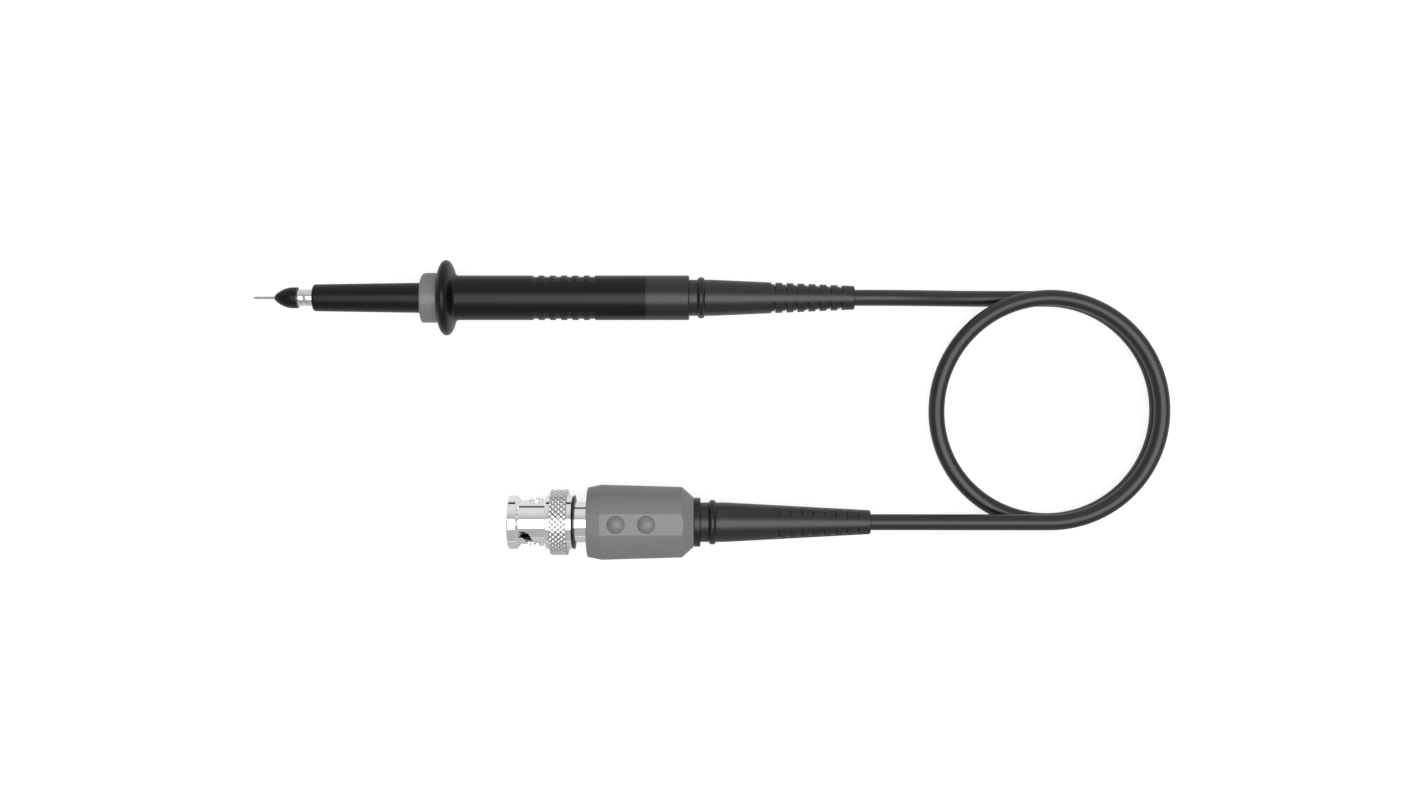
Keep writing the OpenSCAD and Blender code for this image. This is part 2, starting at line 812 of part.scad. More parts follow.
// Cuts the flat panel on top: a slab that follows the taper between two stations
module panel_cut(x0, z0, x1, z1) {
  slope = atan2(z1 - z0, x1 - x0);
  reach = norm([x1 - x0, z1 - z0]) + 2 * past;
  translate([x0, plug_y - panel_w, plug_z + z0]) rotate([0, -slope, 0])
    translate([-past, 0, 0]) cube([reach, 2 * panel_w, box_d]);
}

// Takes off what would reach below the bench, which leaves the flat underside
module underside_cut() {
  translate([xp_front - past, plug_y - box_d, -box_d])
    cube([xp_boot - xp_front, 2 * box_d, box_d]);
}

// A bed and a hole in the panel for each trimmer's cover
module cover_hole(x) {
  bed = plug_z + panel_at(x) - cover_bed_depth;
  translate([x, plug_y, bed]) cylinder(d = cover_d + 2 * cover_bed_gap, h = box_d);
  translate([x, plug_y, plug_z]) cylinder(d = cover_stem_d + 2 * run_gap, h = box_d);
}

// Height of the panel above the plug's axis
function panel_at(x) = panel_top + (panel_rear - panel_top) * (x - xp_box) / box_len;

// Box body: round and tapered, with the panel on top, a rear cone and a room for the board
module box_body() {
  front_r = box_d / 2;
  rear_r = box_rear_d / 2;
  back = box_len + box_tail_len;
  bed_r = box_room_r + lip_bed;
  edge = arc([rear_r - box_rear_round, box_len - box_rear_round / 2], box_rear_round, 0, 45);
  color([0.47, 0.47, 0.47]) difference() {
    on_plug(xp_box) turned(concat(
      [[bed_r, 0], [front_r, 0]], edge, [
      [gland_d / 2, back], [gland_stub_r, back], [gland_stub_r, box_len - box_back_wall],
      [box_room_r, box_len - box_back_wall], [box_room_r, lip_len + fit],
      [bed_r, lip_len + fit]
    ]));
    panel_cut(xp_box, panel_top, xp_tail, panel_rear);
    underside_cut();
    for (x = trimmer_xs) cover_hole(x);
  }
}

// Front cap: a cup that carries the connector and registers in the box with its lip
module box_front_cap() {
  front_r = box_front_d / 2;
  lip_r = box_room_r + lip_bed - fit;
  room_r = lip_r - lip_wall;
  edge = arc([front_r - box_edge_round, box_edge_round], box_edge_round, -90, 0);
  length = box_front_len;
  color([0.45, 0.45, 0.45]) difference() {
    on_plug(xp_front) turned(concat([[thread_r + fit, 0]], edge, [
      [box_d / 2, length], [lip_r, length], [lip_r, length + lip_len],
      [room_r, length + lip_len], [room_r, cap_wall], [thread_r + fit, cap_wall]
    ]));
    panel_cut(xp_front, panel_front, xp_box, panel_top);
    underside_cut();
  }
}

// Domed cover that plugs the hole over a trimmer
module trimmer_cover(x) {
  r = cover_d / 2;
  dome_r = (r * r + cover_rise * cover_rise) / (2 * cover_rise);
  half_angle = asin(min(1, r / dome_r));
  seat = cover_bed_depth - stop_gap;
  stem_r = cover_stem_d / 2;
  dome = arc([0, cover_rise - dome_r], dome_r, 90 - half_angle, 90, curve_steps);
  color([0.47, 0.47, 0.47]) translate([x, plug_y, plug_z + panel_at(x)]) turned(concat(
    [[0, -seat - cover_stem_len], [stem_r, -seat - cover_stem_len], [stem_r, -seat], [r, -seat]],
    dome
  ));
}

module trimmer_cover_front() { trimmer_cover(trimmer_xs[0]); }
module trimmer_cover_rear() { trimmer_cover(trimmer_xs[1]); }

// Slotted rotor of a trimmer capacitor, turned with a screwdriver under its cover
module trimmer_rotor(x) {
  foot = plug_z + comp_board_t / 2 + trimmer_h + stop_gap;
  color("gold") translate([x, plug_y, foot]) difference() {
    union() {
      cylinder(d = rotor_d, h = rotor_h);
      translate([0, 0, -rotor_stem_len]) cylinder(d = rotor_stem_d, h = rotor_stem_len);
    }
    translate([-rotor_d, -slot_w / 2, rotor_h / 2]) cube([2 * rotor_d, slot_w, rotor_h]);
  }
}

module trimmer_rotor_front() { trimmer_rotor(trimmer_xs[0]); }
module trimmer_rotor_rear() { trimmer_rotor(trimmer_xs[1]); }

// Bases of both trimmers, soldered on the board
module trimmer_bases() {
  foot = plug_z + comp_board_t / 2;
  color("white") for (x = trimmer_xs) difference() {
    chip(x, plug_y, foot, [trimmer_w, trimmer_w, trimmer_h]);
    translate([x, plug_y, foot + trimmer_h - rotor_stem_len - stop_gap])
      cylinder(d = rotor_stem_d + 2 * run_gap, h = trimmer_h);
  }
}

module compensation_board() {
  color("darkgreen")
    translate([xp_box + comp_board_at, plug_y - comp_board_w / 2, plug_z - comp_board_t / 2])
    cube([comp_board_len, comp_board_w, comp_board_t]);
}

// Resistors and a choke of the compensation network, between the trimmers
module compensation_chips() {
  middle = (trimmer_xs[0] + trimmer_xs[1]) / 2;
  foot = plug_z + comp_board_t / 2;
  color([0.15, 0.15, 0.18]) {
    for (side = [-1, 1]) chip(middle, plug_y + side * side_chip_y, foot, side_chip_size);
    chip(middle, plug_y, foot - comp_board_t - choke_size[2], choke_size);
  }
}

// Screening can round the board, with a hole over each trimmer
module shield_can() {
  start = xp_box + lip_len + 2 * fit;
  length = xp_tail - box_back_wall - start;
  color("silver") difference() {
    on_plug(start) ring(box_room_r - fit, box_room_r - fit - can_wall, length);
    for (x = trimmer_xs) translate([x, plug_y, plug_z])
      cylinder(d = cover_stem_d + 4 * run_gap, h = box_d);
  }
}

// Connector body: slotted contact sleeve, flange for the nut's spring, neck and thread
module connector_body() {
  contact_r = contact_d / 2;
  start = xp_nut + contact_recess;
  flange = x_body_flange - start;
  neck = xp_front - start;
  back = neck + cap_wall + lock_nut_t + fit;
  room = contact_r - contact_wall;
  step = flange + body_flange_t / 2;
  color("silver") on_plug(start) difference() {
    turned([
      [room, 0], [contact_r, 0], [contact_r, flange], [body_flange_r, flange],
      [body_flange_r, flange + body_flange_t], [neck_d / 2, flange + body_flange_t],
      [neck_d / 2, neck], [thread_r, neck], [thread_r, back],
      [body_back_bore_r, back], [body_back_bore_r, step], [room, step]
    ]);
    for (turn = [45, 135]) rotate([0, 0, turn])
      translate([-contact_d, -contact_slot_w / 2, -past])
        cube([2 * contact_d, contact_slot_w, contact_slot_len + past]);
  }
}

// White insulator between the connector's body and its pin
module connector_insulator() {
  start = xp_nut + insulator_recess;
  step = x_body_flange + body_flange_t / 2 - start;
  back = xp_front + cap_wall + lock_nut_t - start;
  bore = pin_d / 2 + fit;
  color("white") on_plug(start) turned([
    [bore, 0], [contact_d / 2 - contact_wall - fit, 0],
    [contact_d / 2 - contact_wall - fit, step - fit], [body_back_bore_r - fit, step - fit],
    [body_back_bore_r - fit, back], [bore, back]
  ]);
}

// Centre pin, pointed in front and soldered to the board's edge
module connector_pin() {
  start = xp_nut + pin_recess;
  length = xp_box + comp_board_at - start;
  r = pin_d / 2;
  color("gold") on_plug(start) turned([
    [0, 0], [r / 2, 0], [r, pin_point], [r, length], [0, length]
  ]);
}

// Six-sided nut that clamps the connector in the front cap
module connector_lock_nut() {
  color("silver") on_plug(xp_front + cap_wall) difference() {
    cylinder(d = lock_nut_d, h = lock_nut_t, $fn = 6);
    translate([0, 0, -past]) cylinder(r = thread_r + fit, h = lock_nut_t + 2 * past);
  }
}

// A radial drill on the coupling nut, this far from its front and this many degrees from the
// top towards -Y
module nut_drill(d, at, degrees, reach) {
  translate([0, 0, at]) rotate([0, 0, 180 + degrees]) rotate([0, 90, 0])
    cylinder(d = d, h = reach, $fn = drill_sides);
}

// One bayonet slot: a groove inside the front ring lets the socket's lug in, and the slot behind
// it leads the lug back and round to its end
module lug_slot() {
  first = nut_ring_len + lug_slot_w / 2;
  bend = first + lug_run * lug_bend;
  last = first + lug_run;
  mid_deg = (lug_entry_deg + lug_end_deg) / 2;
  hull() {
    nut_drill(lug_slot_w, first, lug_entry_deg, nut_barrel_d);
    nut_drill(lug_slot_w, bend, mid_deg, nut_barrel_d);
  }
  hull() {
    nut_drill(lug_slot_w, bend, mid_deg, nut_barrel_d);
    nut_drill(lug_slot_w, last, lug_end_deg, nut_barrel_d);
  }
  rotate([0, 0, 180 + lug_entry_deg]) translate([0, -lug_slot_w / 2, -past])
    cube([nut_barrel_d / 2, lug_slot_w, first + past]);
}

// Coupling nut: front ring that guides it on the socket, relieved slotted barrel, knurl between
// two shoulders, and a room for the spring inside
module coupling_nut() {
  ring_r = nut_ring_d / 2;
  barrel = nut_barrel_d / 2;
  knurl_r = knurl_d / 2;
  bore = nut_bore_d / 2;
  relief = bore + nut_relief;
  c = nut_chamfer;
  k = knurl_chamfer;
  shoulder = nut_ring_len + nut_barrel_len;
  knurl = shoulder + shoulder_len;
  knurl_end = knurl + knurl_len;
  room = knurl + nut_step;
  bed = x_retain - xp_nut - fit;
  bed_end = bed + retain_t + 2 * fit;
  last = nut_ring_len + lug_slot_w / 2 + lug_run;
  color("gainsboro") on_plug(xp_nut) difference() {
    union() {
      turned([
        [0, 0], [ring_r - c, 0], [ring_r, c], [ring_r, nut_ring_len], [barrel, nut_ring_len],
        [barrel, shoulder], [ring_r - c, shoulder], [ring_r, shoulder + c], [ring_r, knurl],
        [knurl_r - k, knurl], [knurl_r, knurl + k], [knurl_r, knurl_end - k],
        [knurl_r - k, knurl_end], [ring_r, knurl_end], [ring_r, nut_len - c],
        [ring_r - c, nut_len], [0, nut_len]
      ]);
      for (turn = [0, 180]) rotate([0, 0, turn]) nut_drill(boss_d, last, 90, boss_r);
    }
    turned([
      [0, -past], [bore, -past], [bore, nut_ring_len], [relief, nut_ring_len],
      [relief, room], [nut_room_r, room], [nut_room_r, bed], [ring_bed_r, bed],
      [ring_bed_r, bed_end], [nut_room_r, bed_end], [nut_room_r, nut_len + past],
      [0, nut_len + past]
    ]);
    for (turn = [0, 180]) rotate([0, 0, turn]) lug_slot();
  }
}

// Thrust washer between the spring and the nut's retaining ring
module thrust_washer() {
  color("silver") on_plug(x_thrust) ring(washer_r, washer_bore_r, thrust_t);
}

// Spring washer: a shallow cone between the body's flange and the thrust washer
module spring_washer() {
  rise = spring_room - 2 * stop_gap - spring_washer_plate;
  p = spring_washer_plate;
  color("lightgrey") on_plug(x_body_flange + body_flange_t + stop_gap) turned([
    [washer_bore_r, 0], [washer_bore_r, p], [washer_r - stop_gap, rise + p],
    [washer_r - stop_gap, rise]
  ]);
}

// Retaining ring, snapped into the nut behind the thrust washer
module retaining_ring() {
  color("silver") on_plug(x_retain) ring(ring_bed_r - fit, washer_bore_r, retain_t);
}

// Black seal behind the nut, fixed on the connector's neck
module dust_seal() {
  color([0.08, 0.08, 0.08]) on_plug(xp_seal) ring(seal_d / 2, neck_d / 2 + fit, seal_t);
}

contact_needle();
needle_spring();
tip_barrel();
nose_cone();
tip_insulator();
nose_conductor();
ground_barrel();
nose_sleeve();
marker_collar();
handle();
shield_tube();
attenuator_board();
divider_resistor();
divider_capacitor();
tail_sleeve();
probe_ferrule();
probe_cable_end();
probe_boot();
probe_marker_ring();
cable_probe_run();
cable_loop();
cable_plug_run();
plug_boot();
plug_marker_ring();
plug_cable_end();
plug_ferrule();
gland_ring();
box_body();
box_front_cap();
trimmer_cover_front();
trimmer_cover_rear();
trimmer_rotor_front();
trimmer_rotor_rear();
trimmer_bases();
compensation_board();
compensation_chips();
shield_can();
connector_body();
connector_insulator();
connector_pin();
connector_lock_nut();
coupling_nut();
thrust_washer();
spring_washer();
retaining_ring();
dust_seal();
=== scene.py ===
# %% [markdown]
# # An oscilloscope probe, dressed in Blender
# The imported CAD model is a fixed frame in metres. This lesson puts finished surfaces on it: first the
# camera and the lead, then the light, the finishes, and one piece after another from needle to plug.

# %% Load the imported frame
import json
import math

import bmesh
import bpy
import numpy as np
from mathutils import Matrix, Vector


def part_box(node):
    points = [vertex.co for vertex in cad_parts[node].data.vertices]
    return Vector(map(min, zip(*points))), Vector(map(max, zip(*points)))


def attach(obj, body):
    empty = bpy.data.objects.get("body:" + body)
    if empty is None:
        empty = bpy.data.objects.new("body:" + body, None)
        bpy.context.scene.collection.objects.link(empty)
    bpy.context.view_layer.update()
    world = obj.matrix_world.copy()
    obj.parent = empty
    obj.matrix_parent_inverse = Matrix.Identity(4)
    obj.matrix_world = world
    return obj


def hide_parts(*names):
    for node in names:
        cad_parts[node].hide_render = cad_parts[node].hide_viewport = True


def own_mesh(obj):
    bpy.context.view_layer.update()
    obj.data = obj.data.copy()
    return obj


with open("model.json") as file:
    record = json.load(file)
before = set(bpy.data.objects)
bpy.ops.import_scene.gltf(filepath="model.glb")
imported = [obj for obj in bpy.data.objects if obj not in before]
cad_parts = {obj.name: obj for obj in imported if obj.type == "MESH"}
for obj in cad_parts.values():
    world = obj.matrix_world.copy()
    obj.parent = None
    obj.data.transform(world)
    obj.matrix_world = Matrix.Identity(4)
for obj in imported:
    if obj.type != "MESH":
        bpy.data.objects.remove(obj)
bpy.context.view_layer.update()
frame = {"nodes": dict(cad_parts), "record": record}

MM = 0.001
scene = bpy.context.scene

# %% [markdown]
# ## Where things are
# Every piece is turned about one of two long axes: the probe's or the plug's. Both axes and all the
# stations along them are read from the CAD nodes, so that a piece lands where its node is. Lengths in
# this lesson are millimetres until a mesh is made.

# %% Stations and axes


def span(node):
    """First and last X of a CAD node."""
    low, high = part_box(node)
    return low.x / MM, high.x / MM


def middle(node):
    """Middle of a CAD node's box."""
    low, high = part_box(node)
    return (low + high) / 2 / MM


def on_probe(along, side, up):
    """Places a turned piece on the probe's axis."""
    return along, PROBE_Y + side, PROBE_Z + up


def on_plug(along, side, up):
    """Places a turned piece on the plug's axis."""
    return along, PLUG_Y + side, PLUG_Z + up


PROBE_Y, PROBE_Z = middle("handle").y, middle("handle").z
PLUG_Y, PLUG_Z = middle("gland_ring").y, middle("gland_ring").z
print(f"probe axis at y {PROBE_Y:.2f} z {PROBE_Z:.2f}, plug axis at y {PLUG_Y:.2f} z {PLUG_Z:.2f}")

# %% [markdown]
# ## Camera
# The photograph looks straight down. The perspective is mild: the upper side of each round piece leans
# a little away from the picture's middle, which fixes the height of the camera. A new camera already
# looks down with +Y up, so it only needs a place and a lens.

# %% Camera above the bench
SENSOR, LENS = 36, 42
CAMERA_AT = (0.04069, -0.02631, 0.4406)
camera = bpy.data.objects.new("camera", bpy.data.cameras.new("camera"))
camera.data.sensor_width = SENSOR
camera.data.lens = LENS
camera.location = CAMERA_AT
scene.collection.objects.link(camera)
scene.camera = camera
scene.view_settings.view_transform = "Standard"
print("camera at", [round(v, 4) for v in camera.location])

# %% [markdown]
# ## Lead
# The lead is one flexible tube that leaves the probe's boot, drops to the bench, lies in one and a half
# turns, climbs to the plug's boot and runs on into it. A curve with a round bevel is the natural choice,
# because its own line is the centreline and it can't kink. The route repeats the one that the CAD
# solids follow.

# %% Route of the lead
LEAD_D = 4.2
LOOP_X, LOOP_Y, LOOP_R = 129.7, -29.2, 29.4
LOOP_LOW, LOOP_HIGH = 2.1, 6.8
CLIMB_FROM, CLIMB_TO = 210, 330
LOOP_DEGREES, LOOP_STEP = 540, 3
IN_BOOT = 13.0


def ease(t):
    """A smooth rise from 0 to 1."""
    t = np.clip(t, 0, 1)
    return t * t * (3 - 2 * t)


def lead_run(start, stop, steps=24):
    """A run that is straight at both ends and eases up or down between them."""
    near = np.add(start, (LEAD_D, 0, 0))
    far = np.subtract(stop, (2 * LEAD_D, 0, 0))
    t = np.linspace(0, 1, steps)[:, None]
    return [start, *(near + (far - near) * np.hstack([t, ease(t), ease(t)])), stop]


degrees = np.arange(0, LOOP_DEGREES + 1, LOOP_STEP)
climb = ease((degrees - CLIMB_FROM) / (CLIMB_TO - CLIMB_FROM))
loop = np.stack([
    LOOP_X + LOOP_R * np.sin(np.radians(degrees)),
    LOOP_Y + LOOP_R * np.cos(np.radians(degrees)),
    LOOP_LOW + (LOOP_HIGH - LOOP_LOW) * climb,
], 1)
probe_exit = (span("probe_boot")[1], PROBE_Y, PROBE_Z)
plug_exit = (span("plug_boot")[1], PLUG_Y, PLUG_Z)
lead_join = plug_exit[0] - IN_BOOT
route = np.array([
    *lead_run(probe_exit, (LOOP_X - LEAD_D, loop[0][1], loop[0][2])),
    *loop,
    *lead_run(plug_exit, (LOOP_X - LEAD_D, loop[-1][1], loop[-1][2]))[::-1],
    (lead_join, PLUG_Y, PLUG_Z),
]) * MM

# %% The lead itself
LEAD_ROUND = 10
lead_line = bpy.data.curves.new("lead", "CURVE")
lead_line.dimensions = "3D"
lead_line.bevel_depth = LEAD_D / 2 * MM
lead_line.bevel_resolution = LEAD_ROUND
lead_line.use_fill_caps = True
spline = lead_line.splines.new("POLY")
spline.points.add(len(route) - 1)
spline.points.foreach_set("co", np.hstack([route, np.ones((len(route), 1))]).ravel())
spline.use_smooth = True
lead = bpy.data.objects.new("lead", lead_line)
scene.collection.objects.link(lead)
print("lead drawn as one open spline")

# %% [markdown]
# ## Building shader trees
# A material is a tree of nodes. Small helpers keep the trees readable: one adds a node, sets its plain
# values and links the rest, one takes a place apart, three do sums and mix colours, and one starts a node
# group. A group is made once and placed in as many materials as need it, each with its own values.

# %% Helpers for nodes


def add(tree, kind, inputs, **settings):
    """Adds a node. An input that is another node's socket is linked, any other is set."""
    node = tree.nodes.new(kind)
    for key, value in settings.items():
        setattr(node, key, value)
    for key, value in inputs.items():
        if isinstance(value, bpy.types.NodeSocket):
            tree.links.new(value, node.inputs[key])
        else:
            node.inputs[key].default_value = value
    return node


def parts(tree, kind, place):
    """X, Y and Z of a place that a node of this kind gives."""
    return add(tree, "ShaderNodeSeparateXYZ", {"Vector": add(tree, kind, {}).outputs[place]}).outputs


def sums(tree, operation, *values):
    """One step of arithmetic."""
    return add(tree, "ShaderNodeMath", dict(enumerate(values)), operation=operation).outputs[0]


def fade(tree, value, low, high, start=0.0, end=1.0):
    """Carries a value from its own range to another, with soft ends."""
    return add(tree, "ShaderNodeMapRange", {
        "Value": value, "From Min": low, "From Max": high, "To Min": start, "To Max": end,
    }, interpolation_type="SMOOTHSTEP").outputs["Result"]


def blend(tree, share, first, second, way="MIX"):
    """Mixes two colours. The colour sockets share their names with others, so they go by number."""
    mix = add(tree, "ShaderNodeMix", {"Factor": share, 6: first, 7: second},
              data_type="RGBA", blend_type=way)
    return mix.outputs[2]


print("node helpers ready")

# %% Helper for node groups


def effect(name, inputs, output, kind):
    """Starts a node group with these inputs and one output."""
    group = bpy.data.node_groups.new(name, "ShaderNodeTree")
    for label, value in inputs.items():
        colour = isinstance(value, tuple)
        socket = group.interface.new_socket(
            label, in_out="INPUT", socket_type="NodeSocketColor" if colour else "NodeSocketFloat")
        socket.default_value = value
    group.interface.new_socket(output, in_out="OUTPUT", socket_type=kind)
    given = group.nodes.new("NodeGroupInput").outputs
    result = group.nodes.new("NodeGroupOutput").inputs[output]
    return group, given, result


print("group helper ready")

# %% [markdown]
# ## Floor
# The object lies on plain white with the faintest shadow. A floor that is white by light alone would
# need more light than the object can stand. So the floor is a pale grey that takes the shadow, and a
# little emission lifts it to white for the camera. Mirror and glass rays get a smaller lift, which keeps
# the edge of bright metal apart from the white behind it. It is smallest on the near side of the plug:
# there the floor is painted darker for mirror rays alone, a painted reflection that makes the metal greyer.

# %% White floor that keeps a shadow
FLOOR_GREY = 0.30
FLOOR_LIFT = 0.80
MIRROR_NEAR, MIRROR_FAR = 0.19, 0.46
MIRROR_TURN = (-0.066, -0.050)
paper = bpy.data.materials.new("white paper")
paper.use_nodes = True
tree = paper.node_tree
path = add(tree, "ShaderNodeLightPath", {}).outputs
mirror = sums(tree, "MAXIMUM", path["Is Glossy Ray"], path["Is Transmission Ray"])
across = parts(tree, "ShaderNodeNewGeometry", "Position")["Y"]
# Painted reflection: the glow that mirror rays see on the floor is set by position, darker on the plug's
# near side.
painted_reflection_lift = fade(tree, across, *MIRROR_TURN, MIRROR_NEAR, MIRROR_FAR)
camera_lift = sums(tree, "MULTIPLY", path["Is Camera Ray"], FLOOR_LIFT)
lift = sums(tree, "MULTIPLY_ADD", mirror, painted_reflection_lift, camera_lift)
shader = tree.nodes["Principled BSDF"].inputs
shader["Base Color"].default_value = (FLOOR_GREY, FLOOR_GREY, FLOOR_GREY, 1)
shader["Roughness"].default_value = 1
shader["Specular IOR Level"].default_value = 0
shader["Emission Color"].default_value = (1, 1, 1, 1)
tree.links.new(lift, shader["Emission Strength"])
print("paper lifted by", FLOOR_LIFT)

# %% Sheet of the floor
FLOOR_HALF = 8.0
FLOOR_BELOW = 0.05
SQUARE = ((-1, -1), (1, -1), (1, 1), (-1, 1))
sheet = bpy.data.meshes.new("floor")
sheet.from_pydata([(x * FLOOR_HALF, y * FLOOR_HALF, -FLOOR_BELOW * MM) for x, y in SQUARE], [], [range(4)])
sheet.materials.append(paper)
floor = bpy.data.objects.new("floor", sheet)
scene.collection.objects.link(floor)
print("floor", 2 * FLOOR_HALF, "m wide")

# %% [markdown]
# ## Light
# The bright metal tells where the light was, because each turned piece mirrors the room round its
# curve: a white band a little to the near side of its top, grey beside it, and a paler grey on the far
# side. The black handle says the rest: its highlight fades towards the needle. So one large softbox hangs
# overhead, shifted to the near side and towards the lead, in a grey room that gets paler towards the far
# side. The room turns white at the horizon, where other views see it behind the object.

# %% Softbox
BOX_WIDE, BOX_DEEP, BOX_HIGH = 1.55, 1.0, 1.2
BOX_X, BOX_Y = 0.40, -0.20
BOX_WATTS = 13.8
softbox_light = bpy.data.lights.new("softbox", "AREA")
softbox_light.shape = "RECTANGLE"
softbox_light.size, softbox_light.size_y = BOX_WIDE, BOX_DEEP
softbox_light.energy = BOX_WATTS
softbox = bpy.data.objects.new("softbox", softbox_light)
softbox.location = (BOX_X, BOX_Y, BOX_HIGH)
softbox.visible_camera = False
scene.collection.objects.link(softbox)
print(f"softbox radiance {BOX_WATTS / (math.pi * BOX_WIDE * BOX_DEEP):.2f}")

# %% Grey room
ROOM_NEAR, ROOM_FAR = 0.45, 0.74
ROOM_TURN = (0.3, 0.9)
HORIZON = (0.02, 0.10)
room = bpy.data.worlds.new("studio")
scene.world = room
room.use_nodes = True
tree = room.node_tree
ray = parts(tree, "ShaderNodeTexCoord", "Generated")
walls = fade(tree, ray["Y"], *ROOM_TURN, ROOM_NEAR, ROOM_FAR)
glow = fade(tree, sums(tree, "ABSOLUTE", ray["Z"]), *HORIZON, 1.0, 0.0)
level = add(tree, "ShaderNodeMix", {"Factor": glow, "A": walls, "B": 1.0}, data_type="FLOAT")
tree.links.new(level.outputs["Result"], tree.nodes["Background"].inputs["Color"])
print("room", ROOM_NEAR, "near,", ROOM_FAR, "far")

# %% [markdown]
# ## Surface effects
# Moulded plastic and turned metal share a few effects: colour that drifts a little, polish that changes
# where hands touch, a fine grain from the mould, rings from the lathe, paler worn edges, and grime with
# painted shade in grooves. Each is one node group. They read object coordinates, which are metres here,
# so a size in millimetres is real.

# %% Colour that drifts
TONE, given, result = effect("tone drift", {
    "Colour": (0.5, 0.5, 0.5, 1), "Amount": 0.1, "Patch mm": 6.0}, "Colour", "NodeSocketColor")


def noise(tree, per_metre, detail):
    """Cloudy noise over the object, from 0 to 1."""
    place = add(tree, "ShaderNodeTexCoord", {}).outputs["Object"]
    return add(tree, "ShaderNodeTexNoise", {
        "Vector": place, "Scale": per_metre, "Detail": detail}).outputs["Fac"]


cloud = noise(TONE, sums(TONE, "DIVIDE", 1 / MM, given["Patch mm"]), 4)
swing = sums(TONE, "MULTIPLY_ADD", sums(TONE, "SUBTRACT", cloud, 0.5), given["Amount"], 0.5)
drifted = blend(TONE, 1.0, given["Colour"], sums(TONE, "MULTIPLY", swing, 2.0), "MULTIPLY")
TONE.links.new(drifted, result)
print(TONE.name, "made")

# %% Polish that changes
SMUDGE, given, result = effect("smudge", {
    "Roughness": 0.4, "Amount": 0.1, "Patch mm": 9.0}, "Roughness", "NodeSocketFloat")
cloud = noise(SMUDGE, sums(SMUDGE, "DIVIDE", 1 / MM, given["Patch mm"]), 3)
swing = sums(SMUDGE, "SUBTRACT", cloud, 0.5)
SMUDGE.links.new(sums(SMUDGE, "MULTIPLY_ADD", swing, given["Amount"], given["Roughness"]), result)
print(SMUDGE.name, "made")

# %% Grain of a mould
GRAIN, given, result = effect("moulded grain", {"Grains per mm": 4.0}, "Height", "NodeSocketFloat")
GRAIN.links.new(noise(GRAIN, sums(GRAIN, "MULTIPLY", given["Grains per mm"], 1 / MM), 3), result)
print(GRAIN.name, "made")

# %% Rings of a lathe
LATHE, given, result = effect("turning marks", {"Marks per mm": 8.0}, "Height", "NodeSocketFloat")
along = parts(LATHE, "ShaderNodeTexCoord", "Object")["X"]
rings = add(LATHE, "ShaderNodeTexNoise", {
    "W": sums(LATHE, "MULTIPLY", along, sums(LATHE, "MULTIPLY", given["Marks per mm"], 1 / MM)),
    "Scale": 1.0, "Detail": 3.0}, noise_dimensions="1D")
LATHE.links.new(rings.outputs["Fac"], result)
print(LATHE.name, "made")

# %% Worn edges
EDGE = (0.52, 0.62)
PATCHES, PATCH_EDGE = 900.0, (0.35, 0.65)
WEAR, given, result = effect("edge wear", {
    "Colour": (0.5, 0.5, 0.5, 1), "Worn colour": (0.7, 0.7, 0.7, 1), "Amount": 0.3,
}, "Colour", "NodeSocketColor")
edges = fade(WEAR, add(WEAR, "ShaderNodeNewGeometry", {}).outputs["Pointiness"], *EDGE)
patchy = fade(WEAR, noise(WEAR, PATCHES, 4), *PATCH_EDGE)
worn = sums(WEAR, "MULTIPLY", sums(WEAR, "MULTIPLY", edges, patchy), given["Amount"])
WEAR.links.new(blend(WEAR, worn, given["Colour"], given["Worn colour"]), result)
print(WEAR.name, "made")

# %% Grime and painted shade in grooves
GROOVE_SKIN = 0.05
GRIME_AND_SHADE, given, result = effect("groove grime and painted shade", {
    "Colour": (0.5, 0.5, 0.5, 1), "Grime and shade colour": (0.05, 0.05, 0.05, 1), "Amount": 0.8, "Axis y mm": 0.0,
    "Axis z mm": 0.0, "Floor mm": 8.0, "Crest mm": 8.4}, "Colour", "NodeSocketColor")
spot = parts(GRIME_AND_SHADE, "ShaderNodeTexCoord", "Object")
side = sums(GRIME_AND_SHADE, "MULTIPLY_ADD", spot["Y"], 1 / MM, sums(GRIME_AND_SHADE, "MULTIPLY", given["Axis y mm"], -1.0))
rise = sums(GRIME_AND_SHADE, "MULTIPLY_ADD", spot["Z"], 1 / MM, sums(GRIME_AND_SHADE, "MULTIPLY", given["Axis z mm"], -1.0))
radius = sums(GRIME_AND_SHADE, "SQRT", sums(GRIME_AND_SHADE, "MULTIPLY_ADD", side, side, sums(GRIME_AND_SHADE, "MULTIPLY", rise, rise)))
# Grime and painted shade: everything below the crest radius is darkened, most at the floor of a groove.
hollow = fade(GRIME_AND_SHADE, radius, given["Floor mm"], given["Crest mm"], 1.0, 0.0)
inside = sums(GRIME_AND_SHADE, "GREATER_THAN", radius, sums(GRIME_AND_SHADE, "SUBTRACT", given["Floor mm"], GROOVE_SKIN))
soiled_and_shaded = sums(GRIME_AND_SHADE, "MULTIPLY", sums(GRIME_AND_SHADE, "MULTIPLY", hollow, inside), given["Amount"])
GRIME_AND_SHADE.links.new(blend(GRIME_AND_SHADE, soiled_and_shaded, given["Colour"], given["Grime and shade colour"]), result)
print(GRIME_AND_SHADE.name, "made")

# %% [markdown]
# ## Finishes
# Each material slot of the part gets its own finish, made from the effects above. The black plastics
# are almost without colour of their own: what shows on them is the softbox and the room, so their
# polish matters more than their colour. The same recipe serves all, with different values, because a
# learner can then compare the finishes row by row.

# %% Recipe of a finish
EDGE_SHARE = 0.5


def grey(level):
    """A neutral colour."""
    return level, level, level


def use(tree, group, inputs):
    """Places a shared effect in a material."""
    return add(tree, "ShaderNodeGroup", inputs, node_tree=group).outputs[0]


